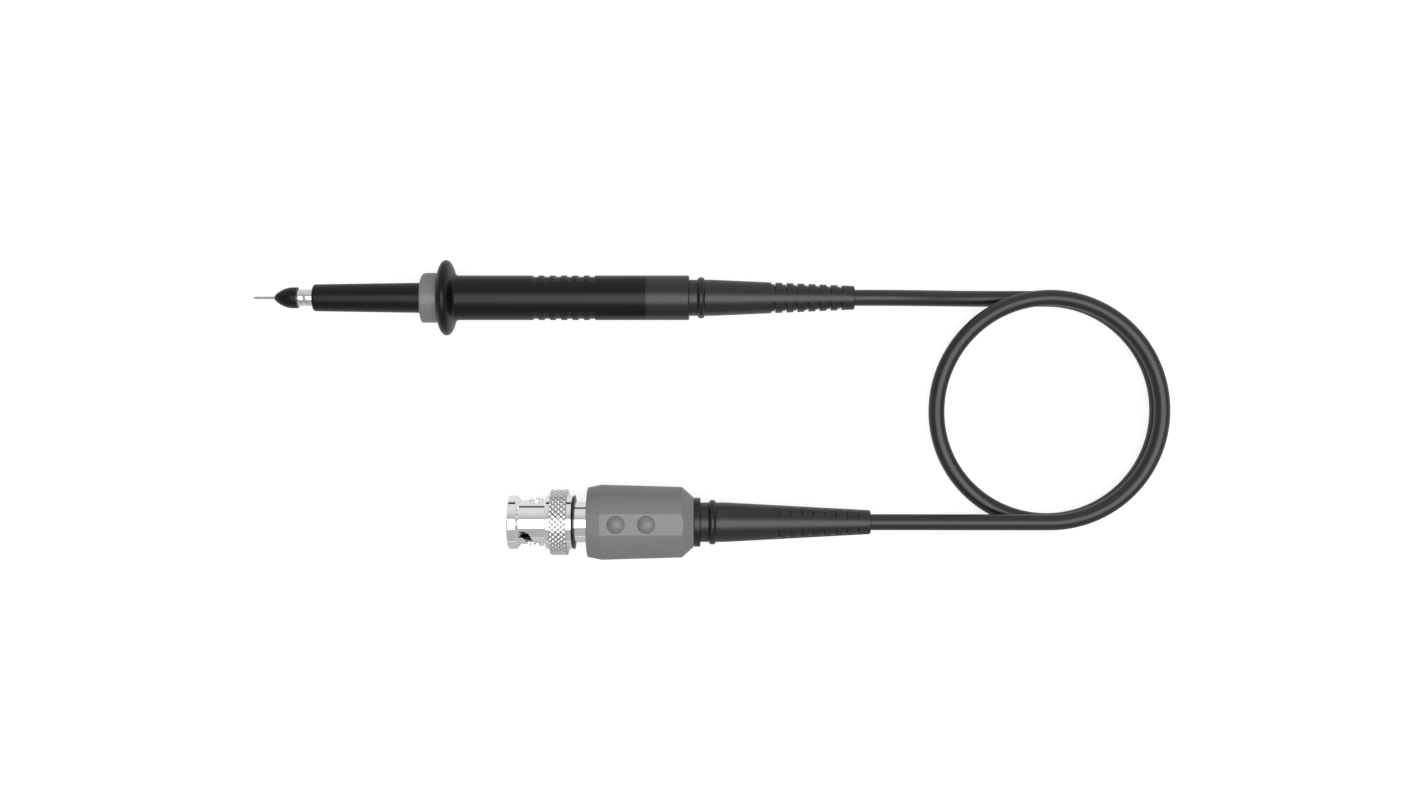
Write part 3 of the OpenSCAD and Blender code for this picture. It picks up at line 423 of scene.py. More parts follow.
def finish(name, colour, rough, worn, metal=0.0, shine=0.5, drift=0.25, patch=5.0, smudge=0.06,
           grain=4.0, depth=0.004, marks=None, grime_and_shade=None):
    """One material. `depth` is the height of its grain or turning marks in millimetres."""
    material = bpy.data.materials.new(name)
    material.use_nodes = True
    tree = material.node_tree
    shader = tree.nodes["Principled BSDF"].inputs
    shader["Metallic"].default_value = metal
    shader["Specular IOR Level"].default_value = shine
    face = use(tree, TONE, {"Colour": (*colour, 1), "Amount": drift, "Patch mm": patch})
    face = use(tree, WEAR, {"Colour": face, "Worn colour": (*worn, 1), "Amount": EDGE_SHARE})
    if grime_and_shade:
        face = use(tree, GRIME_AND_SHADE, {"Colour": face, **grime_and_shade})
    polish = use(tree, SMUDGE, {"Roughness": rough, "Amount": smudge, "Patch mm": 2 * patch})
    if marks:
        relief = use(tree, LATHE, {"Marks per mm": marks})
    else:
        relief = use(tree, GRAIN, {"Grains per mm": grain})
    bump = add(tree, "ShaderNodeBump", {"Height": relief, "Strength": 1.0, "Distance": depth * MM})
    tree.links.new(face, shader["Base Color"])
    tree.links.new(polish, shader["Roughness"])
    tree.links.new(bump.outputs["Normal"], shader["Normal"])
    return material


print("recipe ready")

# %% All finishes
GOLD, BRASS = (0.83, 0.62, 0.25), (0.72, 0.53, 0.25)
KNURL_R, KNURL_DEEP, KNURL_CLEAN = 8.55, 0.22, 0.03
# The knurl's grooves get grime and painted shade, darker towards their floor.
KNURL_GRIME_AND_SHADE = {"Axis y mm": PLUG_Y, "Axis z mm": PLUG_Z, "Floor mm": KNURL_R - KNURL_DEEP,
              "Crest mm": KNURL_R - KNURL_CLEAN}
NICKEL = {"colour": grey(0.95), "rough": 0.06, "worn": grey(0.98), "metal": 1, "drift": 0.04, "smudge": 0.03,
          "marks": 5, "depth": 0.0004}
FINISH = {
    "black_gloss": finish("gloss black plastic", grey(0.0015), 0.33, grey(0.012), shine=0.30, grain=5,
                          depth=0.003),
    "black_satin": finish("satin black rubber", grey(0.008), 0.36, grey(0.02), shine=0.58, grain=6,
                          depth=0.003),
    "black_lead": finish("black lead jacket", grey(0.008), 0.34, grey(0.02), shine=0.58, grain=6,
                         depth=0.0015),
    "black_ring": finish("black rubber ring", grey(0.004), 0.32, grey(0.015), depth=0.002),
    "grey_plastic": finish("matt grey plastic", grey(0.178), 0.36, grey(0.24), shine=0.55, drift=0.06,
                           grain=5, depth=0.006),
    "bright_metal": finish("bright nickel plate", **NICKEL),
    "knurled_metal": finish("bright knurled nickel", **NICKEL, grime_and_shade=KNURL_GRIME_AND_SHADE),
    "ring_metal": finish("rubbed nickel ring", grey(0.72), 0.16, grey(0.85), metal=1, drift=0.3, patch=0.8,
                         grain=2.2, depth=0.012),
    "needle_steel": finish("ground needle steel", (0.42, 0.415, 0.405), 0.34, grey(0.5), metal=1, drift=0.2,
                           marks=9, depth=0.0008),
    "spring_steel": finish("spring steel", grey(0.55), 0.28, grey(0.65), metal=1, marks=9, depth=0.001),
    "gold_plate": finish("gold plate", GOLD, 0.22, GOLD, metal=1, drift=0.1, marks=8, depth=0.001),
    "brass": finish("drawn brass", BRASS, 0.34, GOLD, metal=1, drift=0.15, marks=8, depth=0.001),
    "tin_plate": finish("tin plate", grey(0.66), 0.38, grey(0.75), metal=1, drift=0.12, grain=2,
                        depth=0.002),
    "white_insulator": finish("white insulator", (0.80, 0.80, 0.78), 0.45, grey(0.85), drift=0.05, marks=6,
                              depth=0.002),
    "ceramic_board": finish("white ceramic", (0.78, 0.76, 0.70), 0.50, grey(0.85), drift=0.06, grain=8,
                            depth=0.003),
    "green_board": finish("green board", (0.05, 0.20, 0.08), 0.35, (0.30, 0.30, 0.16), drift=0.2, grain=3,
                          depth=0.006),
    "chip_dark": finish("dark chip", (0.04, 0.04, 0.05), 0.45, grey(0.10), grain=10, depth=0.004),
    "chip_tan": finish("tan ceramic chip", (0.45, 0.33, 0.20), 0.50, (0.55, 0.45, 0.32), grain=9,
                       depth=0.004),
}
print(len(FINISH), "finishes")

# %% [markdown]
# ## Turning a piece
# Almost all of the object is round, so its pieces are turned as on a lathe: a closed outline of
# (along, radius) points is spun round an axis. Blender's Screw modifier could do it, but making the
# points with numpy leaves room for a shaping function, which presses grooves, pockets and flats into
# the spun surface. Corners of an outline get a small round edge, because a real edge catches the light.
# The wear effect confuses points that lie within a third of a millimetre and mirror each other about a
# diagonal. So the stations round most pieces start a quarter of a step off, or lie further apart.

# %% Outlines
BESIDE = 0.2


def rounded(corners, steps=6):
    """A closed outline. A corner's third number says how far from the corner its rounding starts.

    Long lines get a point beside each end, so that wear on an edge stays on the edge.
    """
    points = []
    for i, corner in enumerate(corners):
        here = np.array(corner[:2], float)
        reach = corner[2] if len(corner) > 2 else 0
        if not reach:
            points.append(here)
            continue
        before, after = (np.array(corners[k % len(corners)][:2]) - here for k in (i - 1, i + 1))
        start = here + before / np.linalg.norm(before) * reach
        end = here + after / np.linalg.norm(after) * reach
        for t in np.linspace(0, 1, steps):
            points.append((1 - t) ** 2 * start + 2 * t * (1 - t) * here + t * t * end)
    outline = []
    for here, there in zip(points, points[1:] + points[:1]):
        way = there - here
        length = np.linalg.norm(way)
        outline.append(here)
        if length > 4 * BESIDE:
            outline += [here + way * BESIDE / length, there - way * BESIDE / length]
    return np.array(outline)


print("outlines ready")

# %% Clean meshes
SHARP = math.radians(32)
SAME = 1e-7


def settle(mesh, sharp=SHARP):
    """Joins doubled points, turns all faces outward and keeps crisp edges crisp."""
    work = bmesh.new()
    work.from_mesh(mesh)
    bmesh.ops.remove_doubles(work, verts=work.verts, dist=SAME)
    bmesh.ops.dissolve_degenerate(work, edges=work.edges, dist=SAME)
    bmesh.ops.recalc_face_normals(work, faces=work.faces)
    work.to_mesh(mesh)
    work.free()
    mesh.shade_smooth()
    mesh.set_sharp_from_angle(angle=sharp)


def piece_of(name, spots, faces):
    """A piece from points in millimetres."""
    mesh = bpy.data.meshes.new(name)
    mesh.from_pydata(np.asarray(spots) * MM, [], faces)
    settle(mesh)
    piece = bpy.data.objects.new(name, mesh)
    scene.collection.objects.link(piece)
    return piece


print("meshes ready")

# %% Turning and dressing
TURN = np.arange(0.5, 360, 2.0)


def turned(name, outline, place, turn=TURN, shape=None):
    """Spins an outline. Degrees count from the top towards +Y; `shape` may move the points."""
    along, radius = (np.repeat(column[:, None], len(turn), 1) for column in np.array(outline).T)
    degrees = np.repeat(turn[None, :], len(outline), 0)
    if shape:
        along, radius, degrees = shape(along, radius, degrees)
    angle = np.radians(degrees)
    spots = np.stack(place(along, radius * np.sin(angle), radius * np.cos(angle)), -1)
    ring, step = np.meshgrid(np.arange(len(outline)), np.arange(len(turn)), indexing="ij")

    def corner(rings, steps):
        return (ring + rings) % len(outline) * len(turn) + (step + steps) % len(turn)

    faces = np.stack([corner(0, 0), corner(1, 0), corner(1, 1), corner(0, 1)], -1)
    return piece_of(name, spots.reshape(-1, 3), faces.reshape(-1, 4).tolist())


def dress(piece, slot, body, node, look=None):
    """Gives a piece its finish and its body, and lets it stand for its CAD node."""
    piece.data.materials.clear()
    piece.data.materials.append(FINISH[look or slot])
    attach(piece, body)
    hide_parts(node)
    print(f"{piece.name}: {len(piece.data.polygons)} faces on {body}")


print("lathe ready")

# %% [markdown]
# ## Contact needle
# A thin steel needle with a ground point makes contact. Behind the nose it thickens to a guide shank and
# a piston. Only the front shows, but the whole needle is turned, because it slides in when pressed.

# %% Needle
tip, needle_end = span("contact_needle")
NEEDLE_R, GUIDE_R, PISTON_R = 0.33, 0.42, 0.55
TIP_R, POINT, BARE, PISTON = 0.03, 0.8, 5.4, 1.2
NEEDLE_TURN = np.arange(0, 360, 7.5)
needle = turned("needle", rounded([
    (tip, 0), (tip, TIP_R), (tip + POINT, NEEDLE_R, 0.2), (tip + BARE, NEEDLE_R),
    (tip + BARE, GUIDE_R, 0.04), (needle_end - PISTON, GUIDE_R), (needle_end - PISTON, PISTON_R, 0.05),
    (needle_end, PISTON_R, 0.05), (needle_end, 0),
]), on_probe, NEEDLE_TURN)
dress(needle, "needle_steel", "needle", "contact_needle")

# %% [markdown]
# ## Needle spring
# A fine spring behind the needle pushes it out again. The real one is wound from wire, so a round wire
# section is carried along a helix here.

# %% Needle spring
coil_front, coil_end = span("needle_spring")
WIRE, COIL_R, COILS, COIL_STEPS, WIRE_SIDES = 0.06, 0.43, 13, 20, 8


def shorten(piece):
    """Gives a spring its own copy of its mesh."""
    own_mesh(piece)


rings = COILS * COIL_STEPS + 1
helix = np.linspace(0, 2 * np.pi * COILS, rings)
section = np.arange(WIRE_SIDES) * 2 * np.pi / WIRE_SIDES
swing, roll = np.meshgrid(helix, section, indexing="ij")
along = np.linspace(coil_front + WIRE, coil_end - WIRE, rings)[:, None] + WIRE * np.cos(roll)
radius = COIL_R + WIRE * np.sin(roll)
coil_spots = np.stack(on_probe(along, radius * np.sin(swing), radius * np.cos(swing)), -1)
coil_spots = coil_spots.reshape(-1, 3)
pairs = [(k, (k + 1) % WIRE_SIDES) for k in range(WIRE_SIDES)]
coil_faces = [[i + k, i + WIRE_SIDES + k, i + WIRE_SIDES + n, i + n]
              for i in range(0, (rings - 1) * WIRE_SIDES, WIRE_SIDES) for k, n in pairs]
coil_faces += [list(range(WIRE_SIDES)), list(range(len(coil_spots) - WIRE_SIDES, len(coil_spots)))]
coil = piece_of("return_spring", coil_spots, coil_faces)
dress(coil, "spring_steel", "root", "needle_spring")
shorten(coil)

# %% [markdown]
# ## Nose
# The black cone is an ogive, blunt like a bullet. Behind it a bright ring, the front of the ground
# barrel, takes a ground clip. The long sleeve widens a little towards the hand. All three are plain
# turned pieces; the ring's two bands are slightly crowned, which breaks up what it mirrors.

# %% Nose cone
cone, cone_back = span("nose_cone")
CONE_R, CONE_TIP_R, CONE_LEN, OGIVE, OGIVE_POWER = 2.75, 0.63, 6.2, 5.2, 0.87
CONE_BLUNT = 0.3
HOLE_R, BARREL_R, BARREL_AT, SPIGOT_R = 0.47, 0.88, 2.2, 1.67
OGIVE_STEPS = 24
nose = cone + CONE_BLUNT
t = np.linspace(0, 1, OGIVE_STEPS)
bulge = (1 - (1 - t) ** 2) ** OGIVE_POWER
ogive = np.stack([nose + (OGIVE - CONE_BLUNT) * t, CONE_TIP_R + (CONE_R - CONE_TIP_R) * bulge], 1)
nose_cone = turned("cone", rounded([
    (nose, HOLE_R), *ogive, (cone + CONE_LEN, CONE_R, 0.15), (cone + CONE_LEN, SPIGOT_R),
    (cone_back, SPIGOT_R), (cone_back, BARREL_R), (cone + BARREL_AT, BARREL_R), (cone + BARREL_AT, HOLE_R),
]), on_probe)
dress(nose_cone, "black_gloss", "root", "nose_cone")

# %% Ground barrel
ring, ring_back = span("ground_barrel")
RING_R, RING_BORE, GROOVE_AT, GROOVE, GROOVE_DEEP = 2.15, 1.7, 1.65, 0.2, 0.15
CROWN, BAND_STEPS = 0.06, 12
RING_SHOWN, FLANGE_R, FLANGE = 3.85, 4.17, 1.5
front_band, rear_band = (
    [(ring + a + (b - a) * s, RING_R - CROWN * (2 * s - 1) ** 4) for s in np.linspace(0, 1, BAND_STEPS)]
    for a, b in ((0, GROOVE_AT - GROOVE), (GROOVE_AT + GROOVE, RING_SHOWN)))
ground_barrel = turned("ground_ring", rounded([
    (ring, RING_BORE), *front_band, (ring + GROOVE_AT, RING_R - GROOVE_DEEP), *rear_band,
    (ring_back - FLANGE, RING_R), (ring_back - FLANGE, FLANGE_R), (ring_back, FLANGE_R),
    (ring_back, RING_BORE),
]), on_probe)
dress(ground_barrel, "bright_metal", "root", "ground_barrel", look="ring_metal")

# %% Nose sleeve
sleeve, sleeve_back = span("nose_sleeve")
SLEEVE_FRONT_R, SLEEVE_REAR_R, SLEEVE_LEN, SLEEVE_SET = 3.5, 3.925, 28.2, 0.3
sleeve_front = sleeve + SLEEVE_SET
SEAT_R, SLEEVE_BORE = 3.47, 2.18
nose_sleeve = turned("sleeve", rounded([
    (sleeve_front, SLEEVE_BORE), (sleeve_front, SLEEVE_FRONT_R, 0.65), (sleeve + SLEEVE_LEN, SLEEVE_REAR_R),
    (sleeve + SLEEVE_LEN, SEAT_R), (sleeve_back, SEAT_R), (sleeve_back, SLEEVE_BORE),
]), on_probe)
dress(nose_sleeve, "black_gloss", "root", "nose_sleeve")

# %% [markdown]
# ## Marker collar
# A grey collar, which marks the channel, is clipped in front of the finger guard. Its front edge is
# rounded more on the far side than on the near side. A shaping function does that: it pulls the edge in
# along a quarter circle whose radius changes round the collar.

# %% Collar
collar, collar_back = span("marker_collar")
COLLAR_R, COLLAR_BORE, COLLAR_SET = 6.475, 3.5, 0.3
EDGE_NEAR, EDGE_FAR, EDGE_STEPS = 0.22, 1.15, 14
collar += COLLAR_SET


def soft_edge(along, radius, degrees):
    """Rounds the front edge, from a narrow edge on the near side to a wide one on the far side."""
    reach = EDGE_NEAR + (EDGE_FAR - EDGE_NEAR) * (0.5 + 0.5 * np.sin(np.radians(degrees)))
    short = np.clip(reach - (along - collar), 0, reach)
    pull = reach - np.sqrt(reach * reach - short * short)
    return along, np.where(radius > COLLAR_BORE, radius - pull, radius), degrees


front_edge = [(collar + EDGE_FAR * s * s, COLLAR_R) for s in np.linspace(0, 1, EDGE_STEPS)]
marker_collar = turned("collar", rounded([
    (collar, COLLAR_BORE), *front_edge, (collar_back, COLLAR_R, 0.12), (collar_back, COLLAR_BORE),
]), on_probe, shape=soft_edge)
dress(marker_collar, "grey_plastic", "root", "marker_collar")

# %% [markdown]
# ## Handle
# The handle is one moulding with its finger guard, which keeps fingers away from the live tip. Six grip
# grooves lie on each side. They could be cut with booleans, but a row of stations with a depth each is
# simpler: the outline gets a point at every station, and the shaping function sinks the points there.

# %% Rows of pockets


def row_of(starts, steps):
    """Stations and depths of a row of pockets, all with the same (offset, depth) steps."""
    return np.array([(start + offset, depth) for start in starts for offset, depth in steps]).T


def pressed(row, skin, middles, half, fall=2.0):
    """Shaping function that sinks a row of pockets into whatever lies outside the radius `skin`."""
    def shape(along, radius, degrees):
        away = np.min(np.abs(degrees[..., None] - np.array(middles)), -1)
        inside = np.clip((half - away) / fall + 0.5, 0, 1)
        deep = np.interp(along, *row, left=0, right=0) * inside
        return along, np.where(radius > skin, radius - deep, radius), degrees
    return shape


print("pocket rows ready")

# %% Handle with its guard
guard, handle_back = span("handle")
HANDLE_R, CHAMBER_R, SEAT_BORE, SEAT_DEEP = 5.8, 4.2, 3.5, 8.0
GUARD_FOOT, GUARD_RISE, GUARD_WIDE, GUARD_FILLET = 6.15, 3.65, 3.85, 1.3
GUARD_BLEND, GUARD_EASE, RIM_STEPS, FILLET_STEPS = 126, 0.55, 36, 16
GRIPS, GRIP_AT, GRIP_PITCH, GRIP_DEEP = 6, 25.2, 2.93, 0.35
GRIP_TOP, GRIP_FLOOR, GRIP_HALF_SPAN = 0.8, 0.575, 43
SIDES = (90, 270)
grip_row = row_of(guard + GRIP_AT + GRIP_PITCH * np.arange(GRIPS), [
    (-GRIP_TOP, 0), (-GRIP_FLOOR, GRIP_DEEP), (GRIP_FLOOR, GRIP_DEEP), (GRIP_TOP, 0)])
swing = np.radians(np.linspace(0, GUARD_BLEND, RIM_STEPS))
rim = np.stack([guard + GUARD_WIDE / 2 * (1 - np.cos(swing)), GUARD_FOOT + GUARD_RISE * np.sin(swing)], 1)
fall = np.array([GUARD_WIDE / 2 * np.sin(swing[-1]), GUARD_RISE * np.cos(swing[-1])])
foot = np.array([guard + GUARD_WIDE + GUARD_FILLET, HANDLE_R])
t = np.linspace(0, 1, FILLET_STEPS)[1:, None]
fillet = ((1 - t) ** 3 * rim[-1] + 3 * t * (1 - t) ** 2 * (rim[-1] + GUARD_EASE * fall)
          + 3 * t ** 2 * (1 - t) * (foot - (GUARD_FILLET, 0)) + t ** 3 * foot)
handle = turned("grip", rounded([
    (guard, SEAT_BORE), *rim, *fillet, *((x, HANDLE_R) for x in grip_row[0]),
    (handle_back, HANDLE_R, 0.05), (handle_back, CHAMBER_R), (guard + SEAT_DEEP, CHAMBER_R),
    (guard + SEAT_DEEP, SEAT_BORE),
]), on_probe, shape=pressed(grip_row, (HANDLE_R + CHAMBER_R) / 2, SIDES, GRIP_HALF_SPAN))
dress(handle, "black_gloss", "root", "handle")

# %% Rear sleeve
tail, tail_back = span("tail_sleeve")
SPIGOT, SPIGOT_OUT, WAY_R = 4.0, 4.17, 2.93
NECK_R, SOCKET = 4.7, 3.0
tail_sleeve = turned("rear_sleeve", rounded([
    (tail, WAY_R), (tail, SPIGOT_OUT), (tail + SPIGOT, SPIGOT_OUT), (tail + SPIGOT, HANDLE_R, 0.05),
    (tail_back, HANDLE_R, 0.4), (tail_back, NECK_R), (tail + SPIGOT + SOCKET, NECK_R),
    (tail + SPIGOT + SOCKET, WAY_R),
]), on_probe)
dress(tail_sleeve, "black_satin", "root", "tail_sleeve")

# %% [markdown]
# ## Boots and marker rings
# Each end of the lead has a moulded boot that keeps it from kinking. The probe's boot has notches down
# both sides, and the plug's boot has windows along four edges, each with a deeper slit at its end. Both
# carry a round marker ring on the neck. One function turns both boots from their own numbers.

# %% Shape of a boot
FIT = 0.03
LEAD_BORE = LEAD_D / 2 + FIT
FLARE, FLARE_DEEP, BOOT_SKIN = 0.3, 0.6, 0.4
RING_AT, RING_BED, RING_HALF, RING_RISE = 3.1, 0.2, 1.0, 0.68
WALL = 0.04
SLIT, SLIT_DEEP = 0.2, 0.4


def pocket_steps(width, depth):
    """A pocket with steep walls, and a narrow slit at the end towards the lead."""
    slit = width - SLIT - WALL
    return [(0, 0), (WALL, depth), (slit - WALL, depth), (slit, depth + SLIT_DEEP),
            (width - WALL, depth + SLIT_DEEP), (width, 0)]


def boot(name, node, place, neck_r, end_r, head, head_r, taper_at, row, middles, half):
    """A boot from the back of its head to the lead."""
    start, end = span(node)
    neck = start + head
    taper = [(x, np.interp(x, (neck + taper_at, end), (neck_r, end_r))) for x in row[0]]
    outline = rounded([
        (start, LEAD_BORE), (start, head_r), (neck, head_r), (neck, neck_r, 0.04),
        (neck + RING_AT - RING_HALF, neck_r), (neck + RING_AT - RING_HALF, neck_r - RING_BED),
        (neck + RING_AT + RING_HALF, neck_r - RING_BED), (neck + RING_AT + RING_HALF, neck_r),
        (neck + taper_at, neck_r, 1.0), *taper, (end, end_r, 0.35), (end, LEAD_BORE + FLARE),
        (end - FLARE_DEEP, LEAD_BORE + FLARE), (end - FLARE_DEEP, LEAD_BORE),
    ])
    piece = turned(name, outline, place, shape=pressed(row, LEAD_BORE + BOOT_SKIN, middles, half))
    dress(piece, "black_satin", "root", node)
    return piece


print(f"bore for the lead: {2 * LEAD_BORE:.2f} mm")

# %% Boot of the probe
PROBE_HEAD, NOTCHES, NOTCH_AT, NOTCH_PITCH, NOTCH, NOTCH_DEEP = 8.2, 7, 21.3, 2.87, 1.15, 0.43
notch_row = row_of(span("probe_boot")[0] + PROBE_HEAD + NOTCH_AT + NOTCH_PITCH * np.arange(NOTCHES),
                   pocket_steps(NOTCH, NOTCH_DEEP))
boot("probe_relief", "probe_boot", on_probe, neck_r=NECK_R, end_r=3.075, head=PROBE_HEAD,
     head_r=NECK_R - FIT, taper_at=6.0, row=notch_row, middles=SIDES, half=69)

# %% Boot of the plug
PLUG_HEAD, WINDOWS, WINDOW_AT, WINDOW_PITCH, WINDOW, WINDOW_DEEP = 4.8, 8, 19.1, 2.94, 1.5, 0.35
PLUG_NECK_R = 5.15
window_row = row_of(span("plug_boot")[0] + PLUG_HEAD + WINDOW_AT + WINDOW_PITCH * np.arange(WINDOWS),
                    pocket_steps(WINDOW, WINDOW_DEEP))
plug_boot = boot("plug_relief", "plug_boot", on_plug, neck_r=PLUG_NECK_R, end_r=3.125, head=PLUG_HEAD,
                 head_r=3.9, taper_at=6.4, row=window_row, middles=(45, 135, 225, 315), half=20)

# %% Marker rings
BEAD_STEPS = 18


def marker_ring(name, node, place, neck_r):
    """A round bead that sits in a bed on a boot's neck."""
    start, end = span(node)
    half = (end - start) / 2
    bead_r = (RING_RISE ** 2 + half ** 2) / (2 * RING_RISE)
    swing = math.asin(half / bead_r)
    bead = [((start + end) / 2 + bead_r * math.sin(a), neck_r + RING_RISE - bead_r * (1 - math.cos(a)))
            for a in np.linspace(-swing, swing, BEAD_STEPS)]
    floor_r = neck_r - RING_BED + FIT
    piece = turned(name, np.array([(start, floor_r), *bead, (end, floor_r)]), place)
    dress(piece, "black_ring", "root", node)
    return piece


marker_ring("probe_bead", "probe_marker_ring", on_probe, NECK_R)
plug_ring = marker_ring("plug_bead", "plug_marker_ring", on_plug, PLUG_NECK_R)

# %% Gland ring
gland, gland_back = span("gland_ring")
GLAND_R, GLAND_SHOWN, GLAND_STUB, GLAND_BORE = 6.375, 1.7, 4.77, 3.93
gland_ring = turned("gland", rounded([
    (gland, GLAND_BORE), (gland, GLAND_STUB), (gland_back - GLAND_SHOWN, GLAND_STUB),
    (gland_back - GLAND_SHOWN, GLAND_R, 0.3), (gland_back, GLAND_R, 0.3), (gland_back, GLAND_BORE),
]), on_plug)
dress(gland_ring, "black_ring", "root", "gland_ring")

# %% [markdown]
# ## Compensation box
# The grey box holds the network that matches probe and oscilloscope. It is round with a narrow flat panel
# on top and a flat underside. Spinning alone can't make flats, so the shaping function moves the stations
# round the box until panel and underside begin exactly at one, and then presses those between them flat.
# That leaves clean straight edges, which a boolean on a spun mesh wouldn't. Close rows of points where the
# panel ends, and where it will be drilled, keep its outline smooth and the wear of the rims on the rims.

# %% Flats of the box
cap, cap_lip = span("box_front_cap")
body, body_back = span("box_body")
BOX_FRONT_R, BOX_R, BOX_REAR_R = 9.05, 9.775, 9.175
BOX_TAIL, PANEL_HALF, SEAM_AHEAD = 3.1, 2.7, 0.55
BOX_TURN, PANEL_TURN, BASE_TURN = np.arange(0, 360, 2.4), 16.8, 21.6
TINY = 1e-6
seam = body - SEAM_AHEAD
heel = body_back - BOX_TAIL
box_x = (cap, seam, heel)
box_r = np.array((BOX_FRONT_R, BOX_R, BOX_REAR_R))
panel_z = np.sqrt(box_r ** 2 - PANEL_HALF ** 2)


def flats(along, radius, degrees):
    """Presses the panel and the underside flat."""
    outer, top = np.interp(along, box_x, box_r), np.interp(along, box_x, panel_z)
    panel, base = np.degrees(np.arccos(top / outer)), np.degrees(np.arccos(PLUG_Z / outer))
    signed = (degrees + 180) % 360 - 180
    away = np.abs(signed)
    between = panel + (away - PANEL_TURN) / (180 - PANEL_TURN - BASE_TURN) * (180 - panel - base)
    away = np.where(away <= PANEL_TURN, away / PANEL_TURN * panel,
                    np.where(away >= 180 - BASE_TURN, 180 - (180 - away) / BASE_TURN * base, between))
    drop = np.cos(np.radians(away))
    limit = np.where(drop > 0, top, PLUG_Z) / np.maximum(np.abs(drop), TINY)
    return along, np.minimum(radius, limit), np.sign(signed) * away


print("panel above the plug's axis:", panel_z.round(2), "mm")

# %% Box and front cap
CAP_SEAT_R, CAP_SEAT, BOX_ROOM_R, BOX_ROOM_END, GLAND_HOLE_R = 7.7, 1.23, 7.25, 0.4, 4.8
CAP_HOLE_R, CAP_ROOM_R, CAP_WALL = 4.88, 7.02, 1.6
DRILL_REACH, DRILL_GAP = 3.2, 0.4
TAIL_ROWS = (0.38, 1.0, 0.06)
PANEL_EDGE, FINE_STEPS = math.radians(10), 12


def rows(start, end, first, last, gap):
    """Points on the line from start to end, from one distance along it to another."""
    start, end = np.array(start), np.array(end)
    way = (end - start) / np.linalg.norm(end - start)
    return [tuple(start + way * d) for d in np.arange(first, last, gap)]


room_end = heel - BOX_ROOM_END
box_seam, box_heel, box_end = (seam, BOX_R), (heel, BOX_REAR_R), (body_back, GLAND_R)
first, last = (middle(f"trimmer_cover_{end}").x - seam for end in ("front", "rear"))
box_body = turned("box", rounded([
    (seam, CAP_SEAT_R), (*box_seam, 0.06),
    *rows(box_seam, box_heel, first - DRILL_REACH, last + DRILL_REACH, DRILL_GAP),
    (*box_heel, 0.33), *rows(box_heel, box_end, *TAIL_ROWS), (*box_end, 0.12),
    (body_back, GLAND_HOLE_R), (room_end, GLAND_HOLE_R), (room_end, BOX_ROOM_R),
    (body + CAP_SEAT, BOX_ROOM_R), (body + CAP_SEAT, CAP_SEAT_R),
], FINE_STEPS), on_plug, BOX_TURN, flats)
box_cap = turned("box_nose", rounded([
    (cap, CAP_HOLE_R), (cap, BOX_FRONT_R, 0.4), (seam, BOX_R, 0.06), (seam, CAP_SEAT_R - FIT),
    (cap_lip, CAP_SEAT_R - FIT), (cap_lip, CAP_ROOM_R), (cap + CAP_WALL, CAP_ROOM_R),
    (cap + CAP_WALL, CAP_HOLE_R),
], FINE_STEPS), on_plug, BOX_TURN, flats)
settle(box_cap.data, PANEL_EDGE)
dress(box_cap, "grey_plastic", "root", "box_front_cap")

# %% [markdown]
# ## Trimmer covers
# Two small domes close the holes over the trimmers. Each sits in a shallow round bed in the panel, and a
# thin gap runs round it. Bed and hole are round in another direction than the box, so here booleans are
# the right tool. Their result is applied at once, and nothing stays live on the piece.

# %% Carving with booleans
PAST = 1


def carve(piece, cutters, joined=()):
    """Joins the second kind of tools to a piece, cuts the first from it, and removes them."""
    for tool in (*joined, *cutters):
        step = piece.modifiers.new("carve", "BOOLEAN")
        step.operation = "UNION" if tool in joined else "DIFFERENCE"
        step.solver = "MANIFOLD"
        step.object = tool
    done = bpy.data.meshes.new_from_object(piece.evaluated_get(bpy.context.evaluated_depsgraph_get()))
    piece.modifiers.clear()
    piece.data = done
    done.name = piece.name
    settle(done)
    for tool in (*joined, *cutters):
        bpy.data.objects.remove(tool)


def upright(node):
    """Places a turned piece on a vertical axis through a node's middle, from the plug's axis up."""
    centre = middle(node)
    return lambda along, side, up: (centre.x + side, centre.y + up, PLUG_Z + along)


def drum(name, place, low, high, radius):
    """A plain drum, to cut or join with."""
    return turned(name, np.array([(low, 0), (low, radius), (high, radius), (high, 0)]), place)


def prism(name, spots):
    """A prism to cut with. The first half of its corners is one end, the second half the other."""
    n = len(spots) // 2
    sides = [(i, (i + 1) % n, n + (i + 1) % n, n + i) for i in range(n)]
    return piece_of(name, spots, [*sides, tuple(range(n))[::-1], tuple(range(n, 2 * n))])


print("carving ready")

# %% Beds and covers
COVER_R, COVER_RISE, BED_R, BED_DEEP, STEM_R, STEM = 2.15, 0.85, 2.28, 0.5, 1.7, 2.4
COVER_GAP, COVER_FOOT = 0.05, 0.1
DOME_POWER, DOME_STEPS, DOME_TURN = 2.5, 18, np.arange(1.25, 360, 5)
beds = []
for end in ("front", "rear"):
    node = f"trimmer_cover_{end}"
    panel = float(np.interp(middle(node).x, box_x, panel_z))
    beds.append(drum("bed", upright(node), panel - BED_DEEP, panel + 2 * PAST, BED_R))
    beds.append(drum("hole", upright(node), 0, panel, STEM_R + COVER_GAP))
    seat = panel - BED_DEEP + COVER_GAP
    t = np.sin(np.linspace(np.pi / 2, 0, DOME_STEPS))
    dome = np.stack([panel + COVER_RISE * (1 - t ** DOME_POWER), COVER_R * t], 1)
    cover = turned(f"dome_{end}", rounded([
        (seat - STEM, 0), (seat - STEM, STEM_R, 0.15), (seat, STEM_R), (seat, COVER_R),
        (panel - COVER_FOOT, COVER_R), *dome,
    ]), upright(node), DOME_TURN)
    dress(cover, "grey_plastic", f"cover_{end}", node)
carve(box_body, beds)
settle(box_body.data, PANEL_EDGE)
dress(box_body, "grey_plastic", "root", "box_body")

